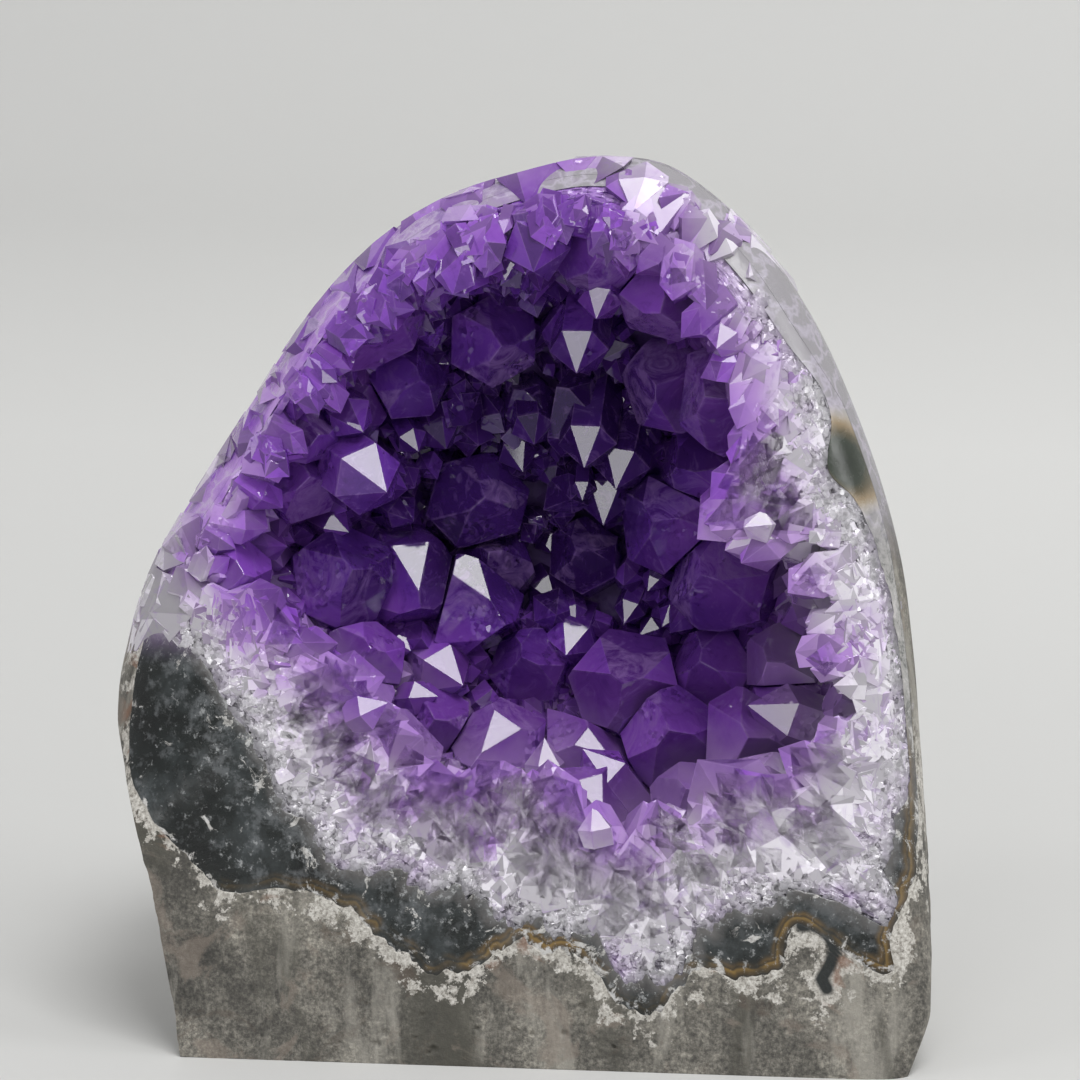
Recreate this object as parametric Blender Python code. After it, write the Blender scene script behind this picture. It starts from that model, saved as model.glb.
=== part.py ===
"""Cut-base amethyst geode: a basalt nodule sawn open, lined with chalcedony, quartz and amethyst.

Metres, +Z up, the cavity opens towards -Y. The sawn base stands on z = 0, and the origin is the
middle of the whole piece's footprint box.

Every layer is described from one axis that runs front to back through (AXIS_X, AXIS_Z). Around it,
an outline gives the layer's edge on the front face as a smooth closed curve, and the layer then
runs back from that edge as a bowl that closes on the axis.
"""

import math

import bmesh
import bpy
import numpy as np
from mathutils import Matrix, Vector
from mathutils.bvhtree import BVHTree

MM = 0.001

# The axis that the layers close on, and the front face: a plane that leans back as it rises.
AXIS_X = 0 * MM
AXIS_Z = 56 * MM
FRONT_Y = -31 * MM
FRONT_LEAN = math.tan(math.radians(9))

# Moves the whole piece so that its footprint box is centred on the origin.
FOOTING = (6.4 * MM, -4.9 * MM, 0)

# The layers, as depths behind the front plane at the axis.
BACK_DEPTH = 63 * MM
ROCK_DEPTH = 46 * MM
BAND_DEPTH = 42 * MM
BED_DEPTH = 37 * MM
LEAST_WALL = 0.8 * MM
GAP = 0.3 * MM

# The nodule behind its front edge: (share of its depth, share of its radius there).
BACK_PROFILE = [
    (0.12, 1.0), (0.26, 0.995), (0.42, 0.97), (0.57, 0.915), (0.71, 0.82), (0.83, 0.68),
    (0.92, 0.50), (0.975, 0.28),
]
# How deep its natural hollows are, and how much its crest has fallen by the middle of its depth,
# both as shares of its radius.
HOLLOW = 0.018
CREST_FALL = 0.08

# The polished lip that the front face ends in: the share of the radius where it starts and how far
# it has turned back at the edge, each with what swings add to it as (amount, middle, reach).
LIP_START = 0.86
LIP_START_SWINGS = ((-0.20, 190, 55), (-0.06, 0, 60))
LIP_DEPTH = 7 * MM
LIP_DEPTH_SWINGS = ((7 * MM, 160, 100), (5 * MM, 10, 70))
# The sawn foot has no lip. Degrees round the axis over which the lip runs out at its left and right.
LEFT_RUN_OUT = (190, 206)
RIGHT_RUN_OUT = (332, 297)

AROUND = 48
BOWL_RINGS = 8
# Where the rings of a layer's front face lie, as shares of its width from its inner edge.
FRONT_SHARES = (0.4, 0.75, 1.0)

# Crystals. A quartz termination face stands this far off the crystal's own axis.
FACE_TILT = math.radians(51.8)
MINOR_FACE_SETBACK = 0.16
# Length over radius, and how far along that length the middle of what shows lies.
SLENDERNESS = 2.5
MIDDLE = 0.6
UNEVENNESS = 0.05
CONTACT_GAP = 0.12 * MM
SEAT_DEPTH = 3 * MM
SEAT_STEP = 0.2 * MM
# Crystals keep this clear of the bed. In front they end on a face that was ground round: it crowns
# this far at the axis, and is shaped by rings at these shares of the cavity's edge.
CLEARANCE = 0.45 * MM
CROWN = 2.5 * MM
CROWN_SHARES = (0.94, 0.86, 0.75, 0.5, 0.25)
SEARCH_START = 30 * MM

# The piece is composed to be looked at from here, a little from its right and from above. Its
# crystals are set out in the plane of that view through the middle of the base's front edge, in
# millimetres right and up of that point, with the eye level with DISPLAY_MIDDLE.
DISPLAY_AZIMUTH = math.radians(6)
DISPLAY_ELEVATION = math.radians(11)
DISPLAY_DISTANCE = 550 * MM
DISPLAY_MIDDLE = (-2.4, 69.4)
# Faces at this tilt and turn flash together under a lamp above the display.
FLASH_AZIMUTH = math.radians(14)
FLASH_ELEVATION = math.radians(38)

# Outlines on the front face: (x, z) in millimetres. The nodule's own runs below the sawn base.
NODULE = [
    (48.6, 9), (48.2, 17), (47.4, 28), (46.4, 40), (45.2, 52), (43.4, 64), (40.4, 75), (36.2, 86),
    (30.8, 97), (24.8, 105.6), (18.6, 112), (11, 116.6), (2, 117.2), (-8, 115), (-17, 112),
    (-25.5, 107), (-32, 101), (-38, 93.5), (-45, 82.5), (-52, 71.4), (-57.4, 62), (-60.4, 52),
    (-61.4, 42), (-59.4, 36.5), (-56, 27), (-53.2, 16), (-51.2, 6), (-49, -6), (-38, -17), (-16, -23),
    (12, -23), (32, -18), (42, -7), (46.4, 2),
]
ROCK_EDGE = [
    (46.2, 38), (46.2, 31), (45.6, 24), (43.6, 18.8), (40.2, 14.6), (33.6, 18.8), (28.6, 14),
    (25, 12.4), (20, 13.4), (15, 10), (9, 8.8), (5, 12.6), (0, 14.6), (-6.4, 15.9), (-12, 13.2),
    (-18, 13), (-22, 14), (-26, 18.6), (-31, 21.6), (-38, 22.6), (-44.4, 22), (-50.4, 26.6),
    (-55, 32), (-58.2, 37), (-58.4, 46), (-57, 54), (-53.4, 64), (-47.5, 73), (-40, 86), (-25, 105),
    (-8, 113.6), (2, 115.6), (10, 114.8), (17, 110.5), (29, 96), (38, 77), (43, 61), (45.4, 46),
]
BAND_EDGE = [
    (45, 46), (44.2, 34), (42.8, 27), (40.4, 21), (36, 23.4), (31, 24), (26.5, 21.6), (22, 20.4),
    (16.6, 16), (12.4, 12.8), (8.6, 11.2), (5.4, 15.6), (0, 17.4), (-8, 20.8), (-16, 22.6),
    (-22, 25.6), (-30.6, 26), (-34, 30.4), (-37.5, 36.4), (-41.5, 42.6), (-45.4, 47.5), (-49, 53),
    (-52.4, 61), (-46.5, 73), (-39, 86), (-24, 104), (-7, 112.4), (2, 114.2), (9.4, 113.2),
    (15.6, 109), (27.5, 95), (34, 84), (33.6, 78.5), (37, 74.4), (42, 61),
]
BED_EDGE = [
    (42.4, 46), (40.5, 36), (36, 30.5), (30, 28.6), (22, 26), (14, 22.6), (7.6, 21), (1, 24),
    (-8, 27), (-17, 29.4), (-25, 31.6), (-30, 37), (-34.4, 43), (-39.5, 49.5), (-45, 56.5),
    (-49.6, 63), (-45, 73), (-37.6, 86), (-23, 103), (-7, 111), (2, 112), (12, 107.5), (22, 98),
    (28.6, 89), (28.4, 82.5), (27.4, 79), (31, 74.5), (38, 66), (41.5, 56),
]

# Crystals that stand out: (right, up, radius) in millimetres, then how far the tip leans right and
# up of the viewer's direction, and a turn about the crystal's own axis in degrees.
LEANING = {
    "crown_left": (-23.8, 98.6, 6.7, 0.30, -0.05, 12),
    "crown_small_left": (-10.5, 110.2, 4.3, 0.12, -0.25, 40),
    "crown_small_right": (-3.5, 111.0, 3.9, -0.10, -0.30, 8),
    "crown_middle": (5.6, 107.4, 6.2, -0.12, -0.22, 25),
    "crown_right": (18.9, 108.0, 5.4, -0.45, -0.20, 52),
    "upper_hollow": (-8.1, 95.4, 5.6, 0.18, -0.10, 30),
    "upper_ledge": (-19.0, 90.4, 5.0, 0.35, 0.00, 5),
    "shoulder_long": (13.8, 89.6, 6.0, -0.30, -0.05, 48),
    "shoulder_right": (21.2, 88.0, 7.2, -0.42, -0.10, 20),
    "shoulder_spur": (16.8, 79.0, 4.8, -0.55, -0.02, 10),
    "left_high": (-32.4, 83.0, 4.2, 0.40, -0.02, 33),
    "left_mid": (-33.2, 77.2, 5.0, 0.32, 0.08, 17),
    "left_pale": (-42.4, 75.0, 4.4, 0.30, -0.02, 44),
    "left_low": (-42.0, 65.0, 5.0, 0.34, 0.05, 20),
    "left_block": (-27.4, 64.6, 6.8, 0.22, 0.12, 36),
    "heart_high": (-10.2, 74.4, 6.4, 0.14, 0.02, 14),
    "heart_above": (-8.6, 66.9, 5.0, -0.05, 0.28, 50),
    "heart_right": (2.9, 67.6, 4.7, -0.20, 0.10, 28),
    "heart_low": (-4.4, 53.2, 5.0, -0.15, 0.20, 9),
    "right_big": (13.6, 71.6, 6.7, -0.34, 0.02, 38),
    "right_round": (20.3, 64.6, 6.9, -0.38, 0.12, 16),
    "right_pale": (34.4, 66.0, 6.0, -0.55, 0.08, 42),
    "right_rim_high": (36.6, 56.6, 4.8, -0.52, 0.10, 24),
    "right_rim_low": (38.4, 48.6, 4.6, -0.50, 0.14, 7),
    "right_inner": (28.4, 53.4, 5.2, -0.40, 0.15, 31),
    "lower_left_veil": (-25.0, 54.2, 5.2, 0.20, 0.20, 22),
    "lower_left_pale": (-35.4, 52.4, 5.2, 0.42, 0.22, 47),
    "lower_left_plum": (-21.4, 41.4, 6.2, 0.16, 0.26, 12),
    "lower_left_clear": (-30.6, 39.8, 3.8, 0.30, 0.40, 34),
    "lower_dark": (-16.4, 46.0, 4.8, 0.05, 0.12, 26),
    "floor_grey": (-19.4, 35.0, 4.0, 0.10, 0.36, 5),
    "floor_pink": (-5.0, 28.6, 4.3, 0.06, 0.42, 41),
    "floor_clear": (4.2, 26.4, 4.2, -0.05, 0.45, 18),
    "floor_lilac": (11.4, 28.8, 5.2, -0.08, 0.38, 29),
    "twin_upper": (9.2, 50.2, 7.6, -0.10, 0.10, 50),
    "twin_lower": (14.2, 44.2, 7.2, -0.02, 0.08, 22),
    "twin_right": (25.6, 43.4, 7.4, -0.12, 0.06, 30),
    "plum_right": (19.4, 52.6, 5.4, -0.30, 0.18, 3),
    "veil_right": (17.2, 35.4, 5.4, -0.14, 0.34, 37),
    "lilac_right": (26.6, 35.6, 6.6, -0.24, 0.32, 11),
    "rim_lilac": (35.4, 37.0, 5.6, -0.42, 0.30, 46),
}
# Crystals that turn one termination face to the flash: (right, up, radius), and the way the tip
# points round that face in degrees, 0 to the right and -90 down.
FLASHING = {
    "flash_left_rim": (-31.4, 91.6, 3.4, -80),
    "flash_left": (-27.0, 85.8, 4.0, -105),
    "flash_heart_left": (-18.6, 62.4, 6.6, -85),
    "flash_heart": (-9.6, 60.4, 7.6, -60),
    "flash_upper": (2.8, 95.4, 4.4, -95),
    "flash_crest": (13.6, 100.2, 5.8, -110),
    "flash_pyramid": (3.6, 84.5, 5.4, -75),
    "flash_low_left": (-9.6, 40.8, 6.0, -130),
    "flash_low": (5.8, 39.8, 5.6, -40),
    "flash_floor": (5.0, 32.6, 6.2, -75),
    "flash_low_veil": (-24.4, 47.6, 4.2, -60),
    "flash_right": (28.6, 47.6, 4.6, -140),
    "flash_striped": (26.4, 71.8, 4.2, -100),
    "flash_spur": (21.8, 96.4, 3.8, -120),
    "flash_dark": (-2.6, 86.0, 3.6, -70),
}

COLOURS = {
    "basalt": ((0.20, 0.20, 0.19), 0.75),
    "chalcedony": ((0.045, 0.055, 0.055), 0.18),
    "quartz": ((0.80, 0.76, 0.82), 0.35),
    "amethyst": ((0.20, 0.07, 0.38), 0.08),
}


def material(name):
    """A Principled BSDF of the mineral's own colour and roughness."""
    made = bpy.data.materials.new(name)
    made.use_nodes = True
    shader = made.node_tree.nodes["Principled BSDF"]
    colour, roughness = COLOURS[name]
    shader.inputs["Base Color"].default_value = (*colour, 1)
    shader.inputs["Roughness"].default_value = roughness
    return made


def smooth_radius(outline, angles):
    """Radius at each angle of the smooth closed curve through an outline's points.

    The points become angle and radius about the axis, and a cubic whose slope at each point is that
    of the line between its two neighbours joins one to the next.
    """
    points = np.array(outline, float) * MM - (AXIS_X, AXIS_Z)
    turn = np.arctan2(points[:, 1], points[:, 0]) % (2 * math.pi)
    order = np.argsort(turn)
    turn, radius = turn[order], np.hypot(*points.T)[order]
    turn = np.concatenate([turn[-2:] - 2 * math.pi, turn, turn[:2] + 2 * math.pi])
    radius = np.concatenate([radius[-2:], radius, radius[:2]])
    slope = np.gradient(radius, turn)
    angles = np.asarray(angles, float) % (2 * math.pi)
    i = np.clip(np.searchsorted(turn, angles) - 1, 1, len(turn) - 3)
    span = turn[i + 1] - turn[i]
    t = (angles - turn[i]) / span
    rise = 3 * t**2 - 2 * t**3
    return (
        radius[i] * (1 - rise)
        + radius[i + 1] * rise
        + span * (slope[i] * (t - 2 * t**2 + t**3) + slope[i + 1] * (t**3 - t**2))
    )


def ease(t):
    t = np.clip(t, 0, 1)
    return t * t * (3 - 2 * t)


def swing(angles, middle, reach):
    """1 at the angle middle, falling smoothly to 0 at reach away from it. Both in degrees."""
    away = np.abs((np.degrees(angles) - middle + 180) % 360 - 180)
    return ease(1 - away / reach)


def nodule_radius(angles):
    return smooth_radius(NODULE, angles)


def edge_radius(outline, angles, walls):
    """An edge's radius, kept at least so many least walls inside the nodule."""
    return np.minimum(smooth_radius(outline, angles), nodule_radius(angles) - walls * LEAST_WALL)


def swings(angles, terms):
    return sum(amount * swing(angles, middle, reach) for amount, middle, reach in terms)


def lip_start(angles):
    """Share of the nodule's radius at which the polished lip starts to turn back."""
    return LIP_START + swings(angles, LIP_START_SWINGS)


def lip_depth(angles):
    """How far the lip has turned back at the nodule's edge."""
    turn = np.degrees(angles) % 360
    run_outs = (LEFT_RUN_OUT, RIGHT_RUN_OUT)
    foot = np.prod([ease((turn - start) / (end - start)) for start, end in run_outs], axis=0)
    return (LIP_DEPTH + swings(angles, LIP_DEPTH_SWINGS)) * (1 - foot)


def front_y(angles, radius):
    """The front face: the leaning plane, with its lip a quarter ellipse at the nodule's edge."""
    share = radius / nodule_radius(angles)
    start = lip_start(angles)
    t = np.clip((share - start) / (1 - start), 0, 1)
    z = AXIS_Z + radius * np.sin(angles)
    return FRONT_Y + FRONT_LEAN * z + lip_depth(angles) * (1 - np.sqrt(1 - t * t))


def ring(angles, radius, y):
    return np.stack([AXIS_X + radius * np.cos(angles), y, AXIS_Z + radius * np.sin(angles)], axis=1)


def pole(depth):
    return np.array([AXIS_X, FRONT_Y + FRONT_LEAN * AXIS_Z + depth, AXIS_Z])


def bowl_rings(angles, edge, depth):
    """Rings of a bowl from its edge on the front face to its pole: a quarter ellipse each way."""
    edge_y = front_y(angles, edge)
    for step in range(BOWL_RINGS):
        turn = 0.5 * math.pi * step / BOWL_RINGS
        share = math.sin(turn)
        yield ring(angles, edge * math.cos(turn), edge_y * (1 - share) + pole(depth)[1] * share)


def back_rings(angles):
    """Rings of the nodule from its front edge round the back, with broad natural lumps."""
    full = nodule_radius(angles)
    edge_y = front_y(angles, full)
    back = pole(BACK_DEPTH)[1]
    for share, girth in BACK_PROFILE:
        hollows = 2 - np.sin(3 * angles + 9 * share) - np.sin(5 * angles - 6 * share + 1)
        lumps = 1 - HOLLOW * math.sin(math.pi * share) * hollows
        crest = 1 - CREST_FALL * swing(angles, 80, 110) * ease(2.5 * share)
        yield ring(angles, full * girth * lumps * crest, edge_y * (1 - share) + back * share)


def lofted(name, rings, poles):
    """A closed mesh through the rings, with a fan to a pole at each end."""
    count = len(rings[0])
    points = [poles[0], *np.concatenate(rings), poles[1]]
    last = len(points) - 1
    faces = [(0, 1 + (i + 1) % count, 1 + i) for i in range(count)]
    for row in range(len(rings) - 1):
        a, b = 1 + row * count, 1 + (row + 1) * count
        for i in range(count):
            j = (i + 1) % count
            faces.append((a + i, a + j, b + j, b + i))
    a = 1 + (len(rings) - 1) * count
    faces += [(last, a + i, a + (i + 1) % count) for i in range(count)]
    mesh = bpy.data.meshes.new(name)
    mesh.from_pydata([tuple(p) for p in points], [], faces)
    cleaned = bmesh.new()
    cleaned.from_mesh(mesh)
    bmesh.ops.triangulate(cleaned, faces=cleaned.faces)
    bmesh.ops.recalc_face_normals(cleaned, faces=cleaned.faces)
    cleaned.to_mesh(mesh)
    cleaned.free()
    return bpy.data.objects.new(name, mesh)


def saw_base(obj):
    """Cuts the nodule flat at z = 0 and closes the cut."""
    cut = bmesh.new()
    cut.from_mesh(obj.data)
    everything = [*cut.verts, *cut.edges, *cut.faces]
    bmesh.ops.bisect_plane(cut, geom=everything, plane_co=(0, 0, 0), plane_no=(0, 0, -1), clear_outer=True)
    rim = [edge for edge in cut.edges if edge.is_boundary]
    base = bmesh.ops.holes_fill(cut, edges=rim, sides=0)["faces"]
    bmesh.ops.triangulate(cut, faces=base)
    bmesh.ops.recalc_face_normals(cut, faces=cut.faces)
    cut.to_mesh(obj.data)
    cut.free()


def layer(name, outer, inner, outer_depth, inner_depth):
    """One lining layer: up its outer bowl, across the front face, and down its inner bowl."""
    angles = np.arange(AROUND) * 2 * math.pi / AROUND
    out, into = outer(angles), inner(angles)
    rings = list(bowl_rings(angles, out, outer_depth))[::-1]
    for share in FRONT_SHARES[-2::-1]:
        radius = into + (out - into) * share
        rings.append(ring(angles, radius, front_y(angles, radius)))
    rings += list(bowl_rings(angles, into, inner_depth))
    return lofted(name, rings, (pole(outer_depth), pole(inner_depth)))


def rock_edge(angles):
    return edge_radius(ROCK_EDGE, angles, 1)


def band_edge(angles):
    return np.minimum(edge_radius(BAND_EDGE, angles, 2), rock_edge(angles) - LEAST_WALL)


def bed_edge(angles):
    return np.minimum(edge_radius(BED_EDGE, angles, 3), band_edge(angles) - LEAST_WALL)


def basalt_matrix():
    """The rock: the nodule's outside, the front face in to the band, and the bowl behind the band."""
    angles = np.arange(AROUND) * 2 * math.pi / AROUND
    edge, full = rock_edge(angles), nodule_radius(angles)
    rings = list(back_rings(angles))[::-1]
    for share in FRONT_SHARES[::-1]:
        radius = edge + (full - edge) * share
        rings.append(ring(angles, radius, front_y(angles, radius)))
    rings += list(bowl_rings(angles, edge, ROCK_DEPTH))
    made = lofted("basalt_matrix", rings, (pole(BACK_DEPTH), pole(ROCK_DEPTH)))
    saw_base(made)
    return made


def chalcedony_band():
    return layer(
        "chalcedony_band",
        lambda a: rock_edge(a) - GAP,
        band_edge,
        ROCK_DEPTH - GAP,
        BAND_DEPTH,
    )


def quartz_bed():
    return layer(
        "quartz_bed",
        lambda a: band_edge(a) - GAP,
        bed_edge,
        BAND_DEPTH - GAP,
        BED_DEPTH,
    )


def open_space():
    """The room that crystals may fill: the cavity up to the rounded front, crowned at the axis."""
    angles = np.arange(AROUND) * 2 * math.pi / AROUND
    edge = bed_edge(angles) - CLEARANCE
    mouth = front_y(angles, edge)
    rings = []
    for step in range(BOWL_RINGS - 1, -1, -1):
        turn = 0.5 * math.pi * step / BOWL_RINGS
        share = math.sin(turn)
        y = mouth * (1 - share) + pole(BED_DEPTH - CLEARANCE)[1] * share
        rings.append(ring(angles, edge * math.cos(turn), y))
    for share in CROWN_SHARES:
        radius = edge * share
        rings.append(ring(angles, radius, front_y(angles, radius) - CROWN * (1 - share**2)))
    made = lofted("open_space", rings, (pole(BED_DEPTH - CLEARANCE), pole(-CROWN)))
    made.hide_render = True
    made.display_type = "WIRE"
    return made


def direction(azimuth, elevation):
    """Unit vector from the piece towards a viewer or lamp. Azimuth turns from the front to +X."""
    return Vector((
        math.sin(azimuth) * math.cos(elevation),
        -math.cos(azimuth) * math.cos(elevation),
        math.sin(elevation),
    ))


VIEW = direction(DISPLAY_AZIMUTH, DISPLAY_ELEVATION)
RIGHT = Vector((math.cos(DISPLAY_AZIMUTH), math.sin(DISPLAY_AZIMUTH), 0))
UP = VIEW.cross(RIGHT)


def bed_y(x, z):
    """How far back the bed lies behind the point (x, z), or its edge for a point outside it."""
    angle = np.array([math.atan2(z - AXIS_Z, x - AXIS_X)])
    edge = bed_edge(angle)
    mouth = float(front_y(angle, edge)[0])
    inside = min(math.hypot(x - AXIS_X, z - AXIS_Z) / float(edge[0]), 1)
    share = math.sqrt(1 - inside**2)
    return mouth * (1 - share) + pole(BED_DEPTH)[1] * share


def display_point(right, up):
    return Vector((0, FRONT_Y, 0)) + RIGHT * right * MM + UP * up * MM


def seat_of(right, up, axis, length):
    """Where a crystal is seated whose middle shows at (right, up) in the display view.

    The middle moves back along the line of sight until the seat behind it meets the bed and the
    tip is behind the front plane.
    """
    eye = display_point(*DISPLAY_MIDDLE) + VIEW * DISPLAY_DISTANCE
    shown = display_point(right, up)
    sight = (shown - eye).normalized()
    middle = shown - sight * SEARCH_START
    while True:
        seat = middle - axis * (MIDDLE * length)
        tip = seat + axis * length
        if seat.y >= bed_y(seat.x, seat.z) and tip.y >= FRONT_Y + FRONT_LEAN * tip.z:
            return seat
        middle = middle + sight * SEAT_STEP


def crystal(name, right, up, radius, axis, face):
    """One quartz point: a hexagonal prism cut to its six termination faces, three of them larger.

    axis is its long direction, and face the direction that its first termination face leans to.
    """
    radius *= MM
    length = radius * SLENDERNESS
    seat = seat_of(right, up, axis, length)
    foot = SEAT_DEPTH + radius / 2
    side = (face - axis * face.dot(axis)).normalized()
    turn = Matrix((side, axis.cross(side), axis)).transposed()
    mesh = bmesh.new()
    corner = radius / math.cos(math.pi / 6)
    bmesh.ops.create_cone(
        mesh, cap_ends=True, segments=6, radius1=corner, radius2=corner, depth=length + foot
    )
    bmesh.ops.rotate(mesh, verts=mesh.verts, matrix=Matrix.Rotation(math.pi / 6, 3, "Z"))
    first = min(mesh.faces, key=lambda f: abs(f.normal.z) + abs(f.normal.y) - f.normal.x)
    offset = math.atan2(first.normal.y, first.normal.x)
    bmesh.ops.rotate(mesh, verts=mesh.verts, matrix=Matrix.Rotation(-offset, 3, "Z"))
    bmesh.ops.translate(mesh, verts=mesh.verts, vec=(0, 0, (length - foot) / 2))
    for k in range(6):
        about = math.pi / 3 * k
        normal = Vector((
            math.sin(FACE_TILT) * math.cos(about),
            math.sin(FACE_TILT) * math.sin(about),
            math.cos(FACE_TILT),
        ))
        uneven = UNEVENNESS * math.sin(5 * k + 0.3 * right + 0.7 * up)
        setback = radius * ((MINOR_FACE_SETBACK if k % 2 else 0) + uneven)
        cut_face(mesh, Vector((0, 0, length)) - normal * setback, normal)
    bmesh.ops.transform(mesh, verts=mesh.verts, matrix=Matrix.Translation(seat) @ turn.to_4x4())
    return {"name": name, "mesh": mesh, "seat": seat, "axis": axis, "radius": radius, "length": length}


def cut_face(mesh, point, normal):
    """Cuts a convex mesh by a plane, keeps what is behind it, and closes it with one face."""
    everything = [*mesh.verts, *mesh.edges, *mesh.faces]
    bmesh.ops.bisect_plane(mesh, geom=everything, plane_co=point, plane_no=normal, clear_outer=True)
    rim = [edge for edge in mesh.edges if edge.is_boundary]
    if rim:
        bmesh.ops.holes_fill(mesh, edges=rim, sides=0)


def part_neighbours(crystals):
    """Crystals that would overlap meet at a flat contact face, nearer to the thinner one."""
    for i, a in enumerate(crystals):
        for b in crystals[i + 1:]:
            middle_a = a["seat"] + a["axis"] * a["length"] / 2
            middle_b = b["seat"] + b["axis"] * b["length"] / 2
            away = middle_b - middle_a
            if away.length > a["length"] + b["length"]:
                continue
            if not BVHTree.FromBMesh(a["mesh"]).overlap(BVHTree.FromBMesh(b["mesh"])):
                continue
            normal = away.normalized()
            contact = middle_a + away * (a["radius"] / (a["radius"] + b["radius"]))
            cut_face(a["mesh"], contact - normal * CONTACT_GAP, normal)
            cut_face(b["mesh"], contact + normal * CONTACT_GAP, -normal)


def grown_crystals(space, finish):
    """Every crystal that stands out, parted from its neighbours and seated on the bed."""
    crystals = []
    flash = direction(FLASH_AZIMUTH, FLASH_ELEVATION)
    flash_right = Vector((0, 0, 1)).cross(flash).normalized()
    flash_up = flash.cross(flash_right)
    for name, (right, up, radius, turned) in FLASHING.items():
        turned = math.radians(turned)
        away = flash_right * math.cos(turned) + flash_up * math.sin(turned)
        axis = (flash * math.cos(FACE_TILT) + away * math.sin(FACE_TILT)).normalized()
        crystals.append(crystal(name, right, up, radius, axis, flash))
    for name, (right, up, radius, lean_right, lean_up, turned) in LEANING.items():
        axis = (VIEW + RIGHT * lean_right + UP * lean_up).normalized()
        face = Matrix.Rotation(math.radians(turned), 3, axis) @ UP
        crystals.append(crystal(name, right, up, radius, axis, face))
    part_neighbours(crystals)
    for one in crystals:
        mesh = bpy.data.meshes.new(one["name"])
        bmesh.ops.recalc_face_normals(one["mesh"], faces=one["mesh"].faces)
        one["mesh"].to_mesh(mesh)
        one["mesh"].free()
        made = bpy.data.objects.new("amethyst_" + one["name"], mesh)
        made.data.materials.append(finish)
        seating = made.modifiers.new("seat on the bed", "BOOLEAN")
        seating.operation = "INTERSECT"
        seating.object = space
        yield made


def main():
    for obj in list(bpy.data.objects):
        bpy.data.objects.remove(obj)
    parts = bpy.data.collections.new("amethyst_geode")
    cutters = bpy.data.collections.new("cutters")
    bpy.context.scene.collection.children.link(parts)
    bpy.context.scene.collection.children.link(cutters)
    finishes = {name: material(name) for name in COLOURS}
    footing = bpy.data.objects.new("footing", None)
    footing.location = FOOTING
    parts.objects.link(footing)
    layers = ((basalt_matrix, "basalt"), (chalcedony_band, "chalcedony"), (quartz_bed, "quartz"))
    for make, mineral in layers:
        made = make()
        made.data.materials.append(finishes[mineral])
        made.parent = footing
        parts.objects.link(made)
    space = open_space()
    space.parent = footing
    cutters.objects.link(space)
    for made in grown_crystals(space, finishes["amethyst"]):
        made.parent = footing
        parts.objects.link(made)


main()
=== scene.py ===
"""Amethyst geode: finished surfaces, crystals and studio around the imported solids.

Lengths inside this script are millimetres in the maker's own axes: x to the right, y from the open
front to the back, z up, with the layers closing on the axis through (0, AXIS_HEIGHT). FOOTING moves
them into the frame, and every mesh is written in metres.
"""

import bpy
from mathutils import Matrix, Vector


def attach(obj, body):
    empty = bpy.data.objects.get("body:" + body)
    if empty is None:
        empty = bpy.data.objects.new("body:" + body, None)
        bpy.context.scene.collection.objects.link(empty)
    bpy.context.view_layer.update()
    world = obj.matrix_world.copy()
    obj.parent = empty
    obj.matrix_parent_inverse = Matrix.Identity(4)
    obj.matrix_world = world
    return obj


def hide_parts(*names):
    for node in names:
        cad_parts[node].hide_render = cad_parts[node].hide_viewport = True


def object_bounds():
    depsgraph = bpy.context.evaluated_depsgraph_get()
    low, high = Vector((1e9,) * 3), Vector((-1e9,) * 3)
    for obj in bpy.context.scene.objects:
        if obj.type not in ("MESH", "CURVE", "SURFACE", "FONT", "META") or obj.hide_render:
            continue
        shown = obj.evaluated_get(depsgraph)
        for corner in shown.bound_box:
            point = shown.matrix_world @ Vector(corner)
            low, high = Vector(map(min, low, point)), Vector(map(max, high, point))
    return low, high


bl_info = {
    "name": "Amethyst geode",
    "version": (1, 0, 0),
    "blender": (4, 5, 0),
    "location": "View3D > Sidebar > Geode",
    "description": "Grows a cut-base amethyst geode around its packed solids and lights it",
    "category": "Object",
}

import math

import bmesh
import bpy
import numpy as np
from bpy.props import FloatProperty, FloatVectorProperty, IntProperty, PointerProperty
from mathutils import Vector
from mathutils.bvhtree import BVHTree

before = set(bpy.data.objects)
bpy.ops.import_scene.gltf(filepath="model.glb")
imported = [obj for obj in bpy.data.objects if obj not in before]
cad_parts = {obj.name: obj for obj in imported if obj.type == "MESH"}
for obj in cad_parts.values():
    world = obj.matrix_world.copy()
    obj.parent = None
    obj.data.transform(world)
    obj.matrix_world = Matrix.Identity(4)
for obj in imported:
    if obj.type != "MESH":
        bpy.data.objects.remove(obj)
CAD_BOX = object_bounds()

MM = 0.001
FOOTING = np.array([6.4, -4.9, 0.0])
AXIS_HEIGHT = 56.0
# The front face: where it meets the base, and its rise to the back for each millimetre up.
FRONT_Y = -31.0
FRONT_LEAN = math.tan(math.radians(9))
# How far each layer reaches behind the front face on the axis.
BACK_DEPTH = 63.0
ROCK_DEPTH = 46.0
BAND_DEPTH = 42.0
BED_DEPTH = 37.0
# The least a layer is wide, the share by which the crest falls to the back, and the gap between layers.
LEAST_WALL = 0.8
CREST_FALL = 0.08
SEAM = 0.02

# The display: the eye's direction and distance, and the point it looks at.
DISPLAY_AZIMUTH = 6.0
DISPLAY_ELEVATION = 11.0
DISPLAY_DISTANCE = 550.0
DISPLAY_MIDDLE = (-2.4, 69.4)
DISPLAY_HEIGHT = 141.5
SENSOR = 36.0

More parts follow.
